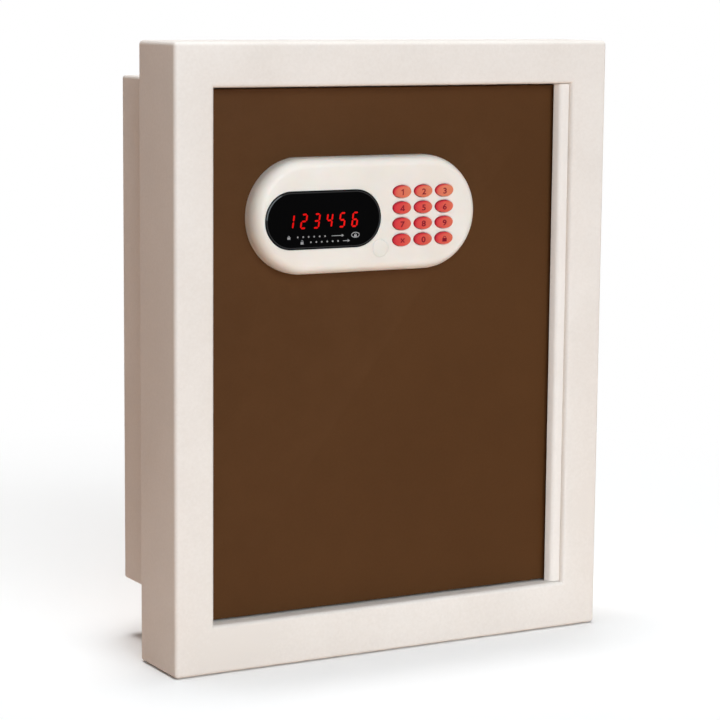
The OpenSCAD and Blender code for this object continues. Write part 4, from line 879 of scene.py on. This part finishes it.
def port_cap():
    """A round plug with a low crown, a soft edge and a skirt that grips the port."""
    bm = bmesh.new()
    # Radius, and depth behind the keypad's face
    head, foot = 1.6, 4.8
    crown = [(0, -0.5), (2.5, -0.48), (4.6, -0.42), (6.2, -0.32), (CAP_R - 0.3, -0.18), (CAP_R, 0.06)]
    skirt = [(CAP_R, head), (CAP_R - 1, head), (CAP_R - 1, foot - 0.2), (CAP_R - 1.2, foot),
             (CAP_R - 1.7, foot), (CAP_R - 1.9, foot - 0.2), (CAP_R - 1.9, head), (0, head)]
    points = [bm.verts.new(mm(CAP_X + r, PAD_FRONT + y, CAP_Z)) for r, y in crown + skirt]
    line = [bm.edges.new(pair) for pair in zip(points, points[1:])]
    bmesh.ops.spin(bm, geom=points + line, cent=mm(CAP_X, 0, CAP_Z), axis=(0, 1, 0), angle=2 * math.pi,
                   steps=64, use_merge=True)
    bmesh.ops.remove_doubles(bm, verts=bm.verts, dist=0.001 * MM)
    bmesh.ops.recalc_face_normals(bm, faces=bm.faces)
    dress(new_object("port_plug", bm), "cap", "ivory_plastic", ["port_cap"], angle=40)


def cross(bm, x, z):
    for turn in (45, -45):
        bar(bm, x, z, CROSS_SIZE, CROSS_LINE, turn)


def figure(bm, text, x, z):
    """A printed figure, centred, as a flat mesh."""
    curve = bpy.data.curves.new("figure", "FONT")
    curve.body = text
    curve.offset = FIGURE_BOLD
    holder = bpy.data.objects.new("figure", curve)
    bpy.context.scene.collection.objects.link(holder)
    mesh = bpy.data.meshes.new_from_object(holder.evaluated_get(bpy.context.evaluated_depsgraph_get()))
    bpy.data.objects.remove(holder)
    bpy.data.curves.remove(curve)
    bm.from_mesh(mesh)
    bpy.data.meshes.remove(mesh)
    low = Vector(min(v.co[i] for v in bm.verts) for i in range(3))
    high = Vector(max(v.co[i] for v in bm.verts) for i in range(3))
    bmesh.ops.translate(bm, verts=bm.verts, vec=-(low + high) / 2)
    size = FIGURE * MM / (high.y - low.y)
    bmesh.ops.scale(bm, verts=bm.verts, vec=(FIGURE_WIDEN * size, size, size))
    bmesh.ops.rotate(bm, verts=bm.verts, matrix=Matrix.Rotation(math.radians(90), 3, "X"))
    bmesh.ops.translate(bm, verts=bm.verts, vec=mm(x, 0, z))


def sag(u, w):
    """How far a key's dome falls away at a place beside its middle."""
    return KEY_DOME - math.sqrt(KEY_DOME ** 2 - u * u - w * w)


def painted_key_light_and_shade(u, w, column, row):
    """Painted shade and light: crimson at the upper left rim, more orange to the right and in the upper rows.
    """
    lean = (w - u) / math.sqrt(2)
    rim = min(1.0, u * u + w * w) ** 4
    level = PAINTED_LIGHT_LEVEL + PAINTED_LIGHT_COLUMN * column + PAINTED_LIGHT_ROW * max(0.0, row - 0.5)
    return level + PAINTED_LIGHT_RIGHT * u - PAINTED_SHADE_RIM * rim * max(0.0, lean)


def key_body(x, z):
    """An oval peg with a domed top, and its colour, with painted light and shade, as an attribute."""
    bm = bmesh.new()
    bmesh.ops.create_circle(bm, cap_ends=True, segments=64, radius=1)
    bmesh.ops.rotate(bm, verts=bm.verts, matrix=Matrix.Rotation(math.radians(90), 3, "X"))
    bmesh.ops.scale(bm, verts=bm.verts, vec=mm(KEY_HALF_W, 0, KEY_HALF_H))
    bmesh.ops.translate(bm, verts=bm.verts, vec=mm(x, PAD_FRONT + KEY_FOOT, z))
    made = bmesh.ops.extrude_face_region(bm, geom=bm.faces[:])["geom"]
    bmesh.ops.translate(bm, verts=points_in(made), vec=mm(0, -KEY_TALL, 0))
    top = faces_in(made)
    rim = list(top[0].edges)
    middle = Matrix.Translation(-mm(x, 0, z))
    for share in KEY_RINGS:
        made = bmesh.ops.extrude_face_region(bm, geom=top)["geom"]
        bmesh.ops.scale(bm, verts=points_in(made), vec=(share, 1, share), space=middle)
        top = faces_in(made)
    for v in bm.verts:
        if v.co.y < PAD_FRONT * MM:
            v.co.y = (KEY_TOP + sag(v.co.x / MM - x, v.co.z / MM - z)) * MM
    soften(bm, rim, KEY_ROUND, segments=4)
    bmesh.ops.recalc_face_normals(bm, faces=bm.faces)
    # The glow attribute paints shade along the upper left rim and light to the right and in the upper rows
    glow = bm.verts.layers.float.new("glow")
    column, row = (x - KEYS_X) / KEY_STEP_X, (z - KEYS_Z) / KEY_STEP_Z
    for v in bm.verts:
        u, w = (v.co.x / MM - x) / KEY_HALF_W, (v.co.z / MM - z) / KEY_HALF_H
        v[glow] = painted_key_light_and_shade(u, w, column, row)
    return bm


def key_legend(label, x, z):
    """A cross, a padlock or a figure that follows the key's dome."""
    bm = bmesh.new()
    if label == "clear":
        cross(bm, x, z + LEGEND_Z)
    elif label == "lock":
        padlock(bm, x, z + KEY_LOCK_Z, KEY_LOCK)
    elif label in STROKES:
        for stroke in STROKES[label]:
            across, up, long, thick = (share * FIGURE for share in stroke[:4])
            bar(bm, x + LEGEND_X + across, z + LEGEND_Z + up, long, thick, turn=stroke[4])
    else:
        figure(bm, label, x + LEGEND_X, z + LEGEND_Z)
    long_edges = [e for e in bm.edges if e.calc_length() > 0.7 * MM]
    bmesh.ops.subdivide_edges(bm, edges=long_edges, cuts=4, use_grid_fill=True)
    for v in bm.verts:
        v.co.y = (KEY_TOP - LEGEND_PROUD + sag(v.co.x / MM - x, v.co.z / MM - z)) * MM
    face_room(bm)
    return bm


def key_cap(label, x, z):
    bm = key_body(x, z)
    inlay(bm, key_legend(label, x, z), 1)
    cap = new_object("key_cap_" + label, bm)
    dress(cap, "button_" + label, "key_red", ["key_" + label], extra=(LEGEND_INK,))


surround_shell()
case_shell()
hinge_cover()
floor_felt()
door_plate()
keypad_shell()
window_lens()
port_cap()
for label, x, z in key_places():
    key_cap(label, x, z)

# Finishes of the CAD nodes
for part in frame["record"]["subparts"]:
    mesh = nodes[part["node"]].data
    mesh.materials.clear()
    mesh.materials.append(FINISH[part["material_slot"]])
# The hinge pins show as dark dots in the gap above the door, not as bright ones
nodes["hinge_pins"].data.materials[0] = FINISH["blacked_steel"]


# Stage

def looked_at(tree):
    """One where the camera sees a surface, straight or reflected, and nought for its light on others."""
    rays = add(tree, "ShaderNodeLightPath").outputs
    straight = add(tree, "ShaderNodeMath", operation="MAXIMUM")
    either = add(tree, "ShaderNodeMath", operation="MAXIMUM")
    wire(tree, rays["Is Camera Ray"], straight.inputs[0])
    wire(tree, rays["Is Glossy Ray"], straight.inputs[1])
    wire(tree, straight.outputs[0], either.inputs[0])
    wire(tree, rays["Is Transmission Ray"], either.inputs[1])
    return either.outputs[0]


def floor_material(height):
    """Pale where it is seen, white far off, and a warm card in the light that it sends to the object."""
    made = bpy.data.materials.new("studio_floor")
    made.use_nodes = True
    tree = made.node_tree
    tree.nodes.clear()
    pale = add(tree, "ShaderNodeBsdfDiffuse", color=FLOOR_PALE)
    warm = add(tree, "ShaderNodeBsdfDiffuse")
    white = add(tree, "ShaderNodeEmission", color=WHITE, strength=1.0)
    ground = add(tree, "ShaderNodeMixShader")
    mix = add(tree, "ShaderNodeMixShader")
    place = add(tree, "ShaderNodeTexCoord").outputs["Object"]
    far = add(tree, "ShaderNodeVectorMath", operation="LENGTH")
    fade = add(tree, "ShaderNodeMapRange", from_min=WHITE_FROM, from_max=WHITE_TO)
    seen = add(tree, "ShaderNodeMath", operation="MULTIPLY")
    apart = add(tree, "ShaderNodeVectorMath", operation="DISTANCE")
    apart.inputs[1].default_value = (CARD_X, CARD_Y, height)
    card = add(tree, "ShaderNodeMapRange", from_min=CARD_FROM, from_max=CARD_TO)
    wire(tree, place, apart.inputs[0])
    wire(tree, apart.outputs["Value"], card.inputs["Value"])
    two_tones(tree, card.outputs[0], CARD_NEAR, CARD_FAR, warm.inputs["Color"], start=0, end=1)
    wire(tree, place, far.inputs[0])
    wire(tree, far.outputs["Value"], fade.inputs["Value"])
    eye = looked_at(tree)
    wire(tree, fade.outputs[0], seen.inputs[0])
    wire(tree, eye, seen.inputs[1])
    wire(tree, seen.outputs[0], mix.inputs[0])
    wire(tree, eye, ground.inputs[0])
    wire(tree, warm.outputs[0], ground.inputs[1])
    wire(tree, pale.outputs[0], ground.inputs[2])
    wire(tree, ground.outputs[0], mix.inputs[1])
    wire(tree, white.outputs[0], mix.inputs[2])
    wire(tree, mix.outputs[0], add(tree, "ShaderNodeOutputMaterial").inputs[0])
    return made


def studio_floor():
    height = -(FRAME_Z + FLOOR_GAP) * MM
    bm = bmesh.new()
    bmesh.ops.create_grid(bm, x_segments=1, y_segments=1, size=FLOOR_HALF)
    bmesh.ops.translate(bm, verts=bm.verts, vec=(0, 0, height))
    floor = new_object("studio_floor", bm)
    floor.data.materials.append(floor_material(height))


def studio_air():
    """White where it is seen, and a weak warm glow on the object."""
    world = bpy.data.worlds.new("studio")
    bpy.context.scene.world = world
    world.use_nodes = True
    tree = world.node_tree
    tree.nodes.clear()
    seen = add(tree, "ShaderNodeBackground", color=WHITE, strength=1.0)
    glow = add(tree, "ShaderNodeBackground", color=AIR_COLOUR, strength=AIR_POWER)
    mix = add(tree, "ShaderNodeMixShader")
    wire(tree, looked_at(tree), mix.inputs[0])
    wire(tree, glow.outputs[0], mix.inputs[1])
    wire(tree, seen.outputs[0], mix.inputs[2])
    wire(tree, mix.outputs[0], add(tree, "ShaderNodeOutputWorld").inputs[0])


def studio_lamps():
    for name, way, power, spread_angle, colour, shines in LAMPS:
        lamp = bpy.data.lights.new(name, "SUN")
        lamp.energy = power
        lamp.angle = math.radians(spread_angle)
        lamp.color = colour
        made = bpy.data.objects.new(name, lamp)
        made.rotation_euler = Vector(way).to_track_quat("Z", "Y").to_euler()
        made.visible_glossy = shines
        bpy.context.scene.collection.objects.link(made)


def camera():
    """Stands left of the middle and a little above, as the photograph was taken."""
    turn, tilt, roll = (math.radians(angle) for angle in (CAMERA_TURN, CAMERA_TILT, CAMERA_ROLL))
    back = Vector((math.sin(turn) * math.cos(tilt), -math.cos(turn) * math.cos(tilt), math.sin(tilt)))
    side = Vector((math.cos(turn), math.sin(turn), 0))
    rise = back.cross(side)
    across = math.cos(roll) * side + math.sin(roll) * rise
    up = math.cos(roll) * rise - math.sin(roll) * side
    place = (CAMERA_ACROSS * across + CAMERA_UP * up + CAMERA_BACK * back) * MM
    lens = bpy.data.cameras.new("camera")
    lens.lens = CAMERA_LENS
    lens.sensor_width = CAMERA_SENSOR
    lens.clip_end = CAMERA_REACH
    made = bpy.data.objects.new("camera", lens)
    made.matrix_world = Matrix.Translation(place) @ Matrix((across, up, back)).transposed().to_4x4()
    bpy.context.scene.collection.objects.link(made)
    bpy.context.scene.camera = made


studio_floor()
studio_air()
studio_lamps()
camera()
bpy.context.scene.view_settings.view_transform = "Standard"
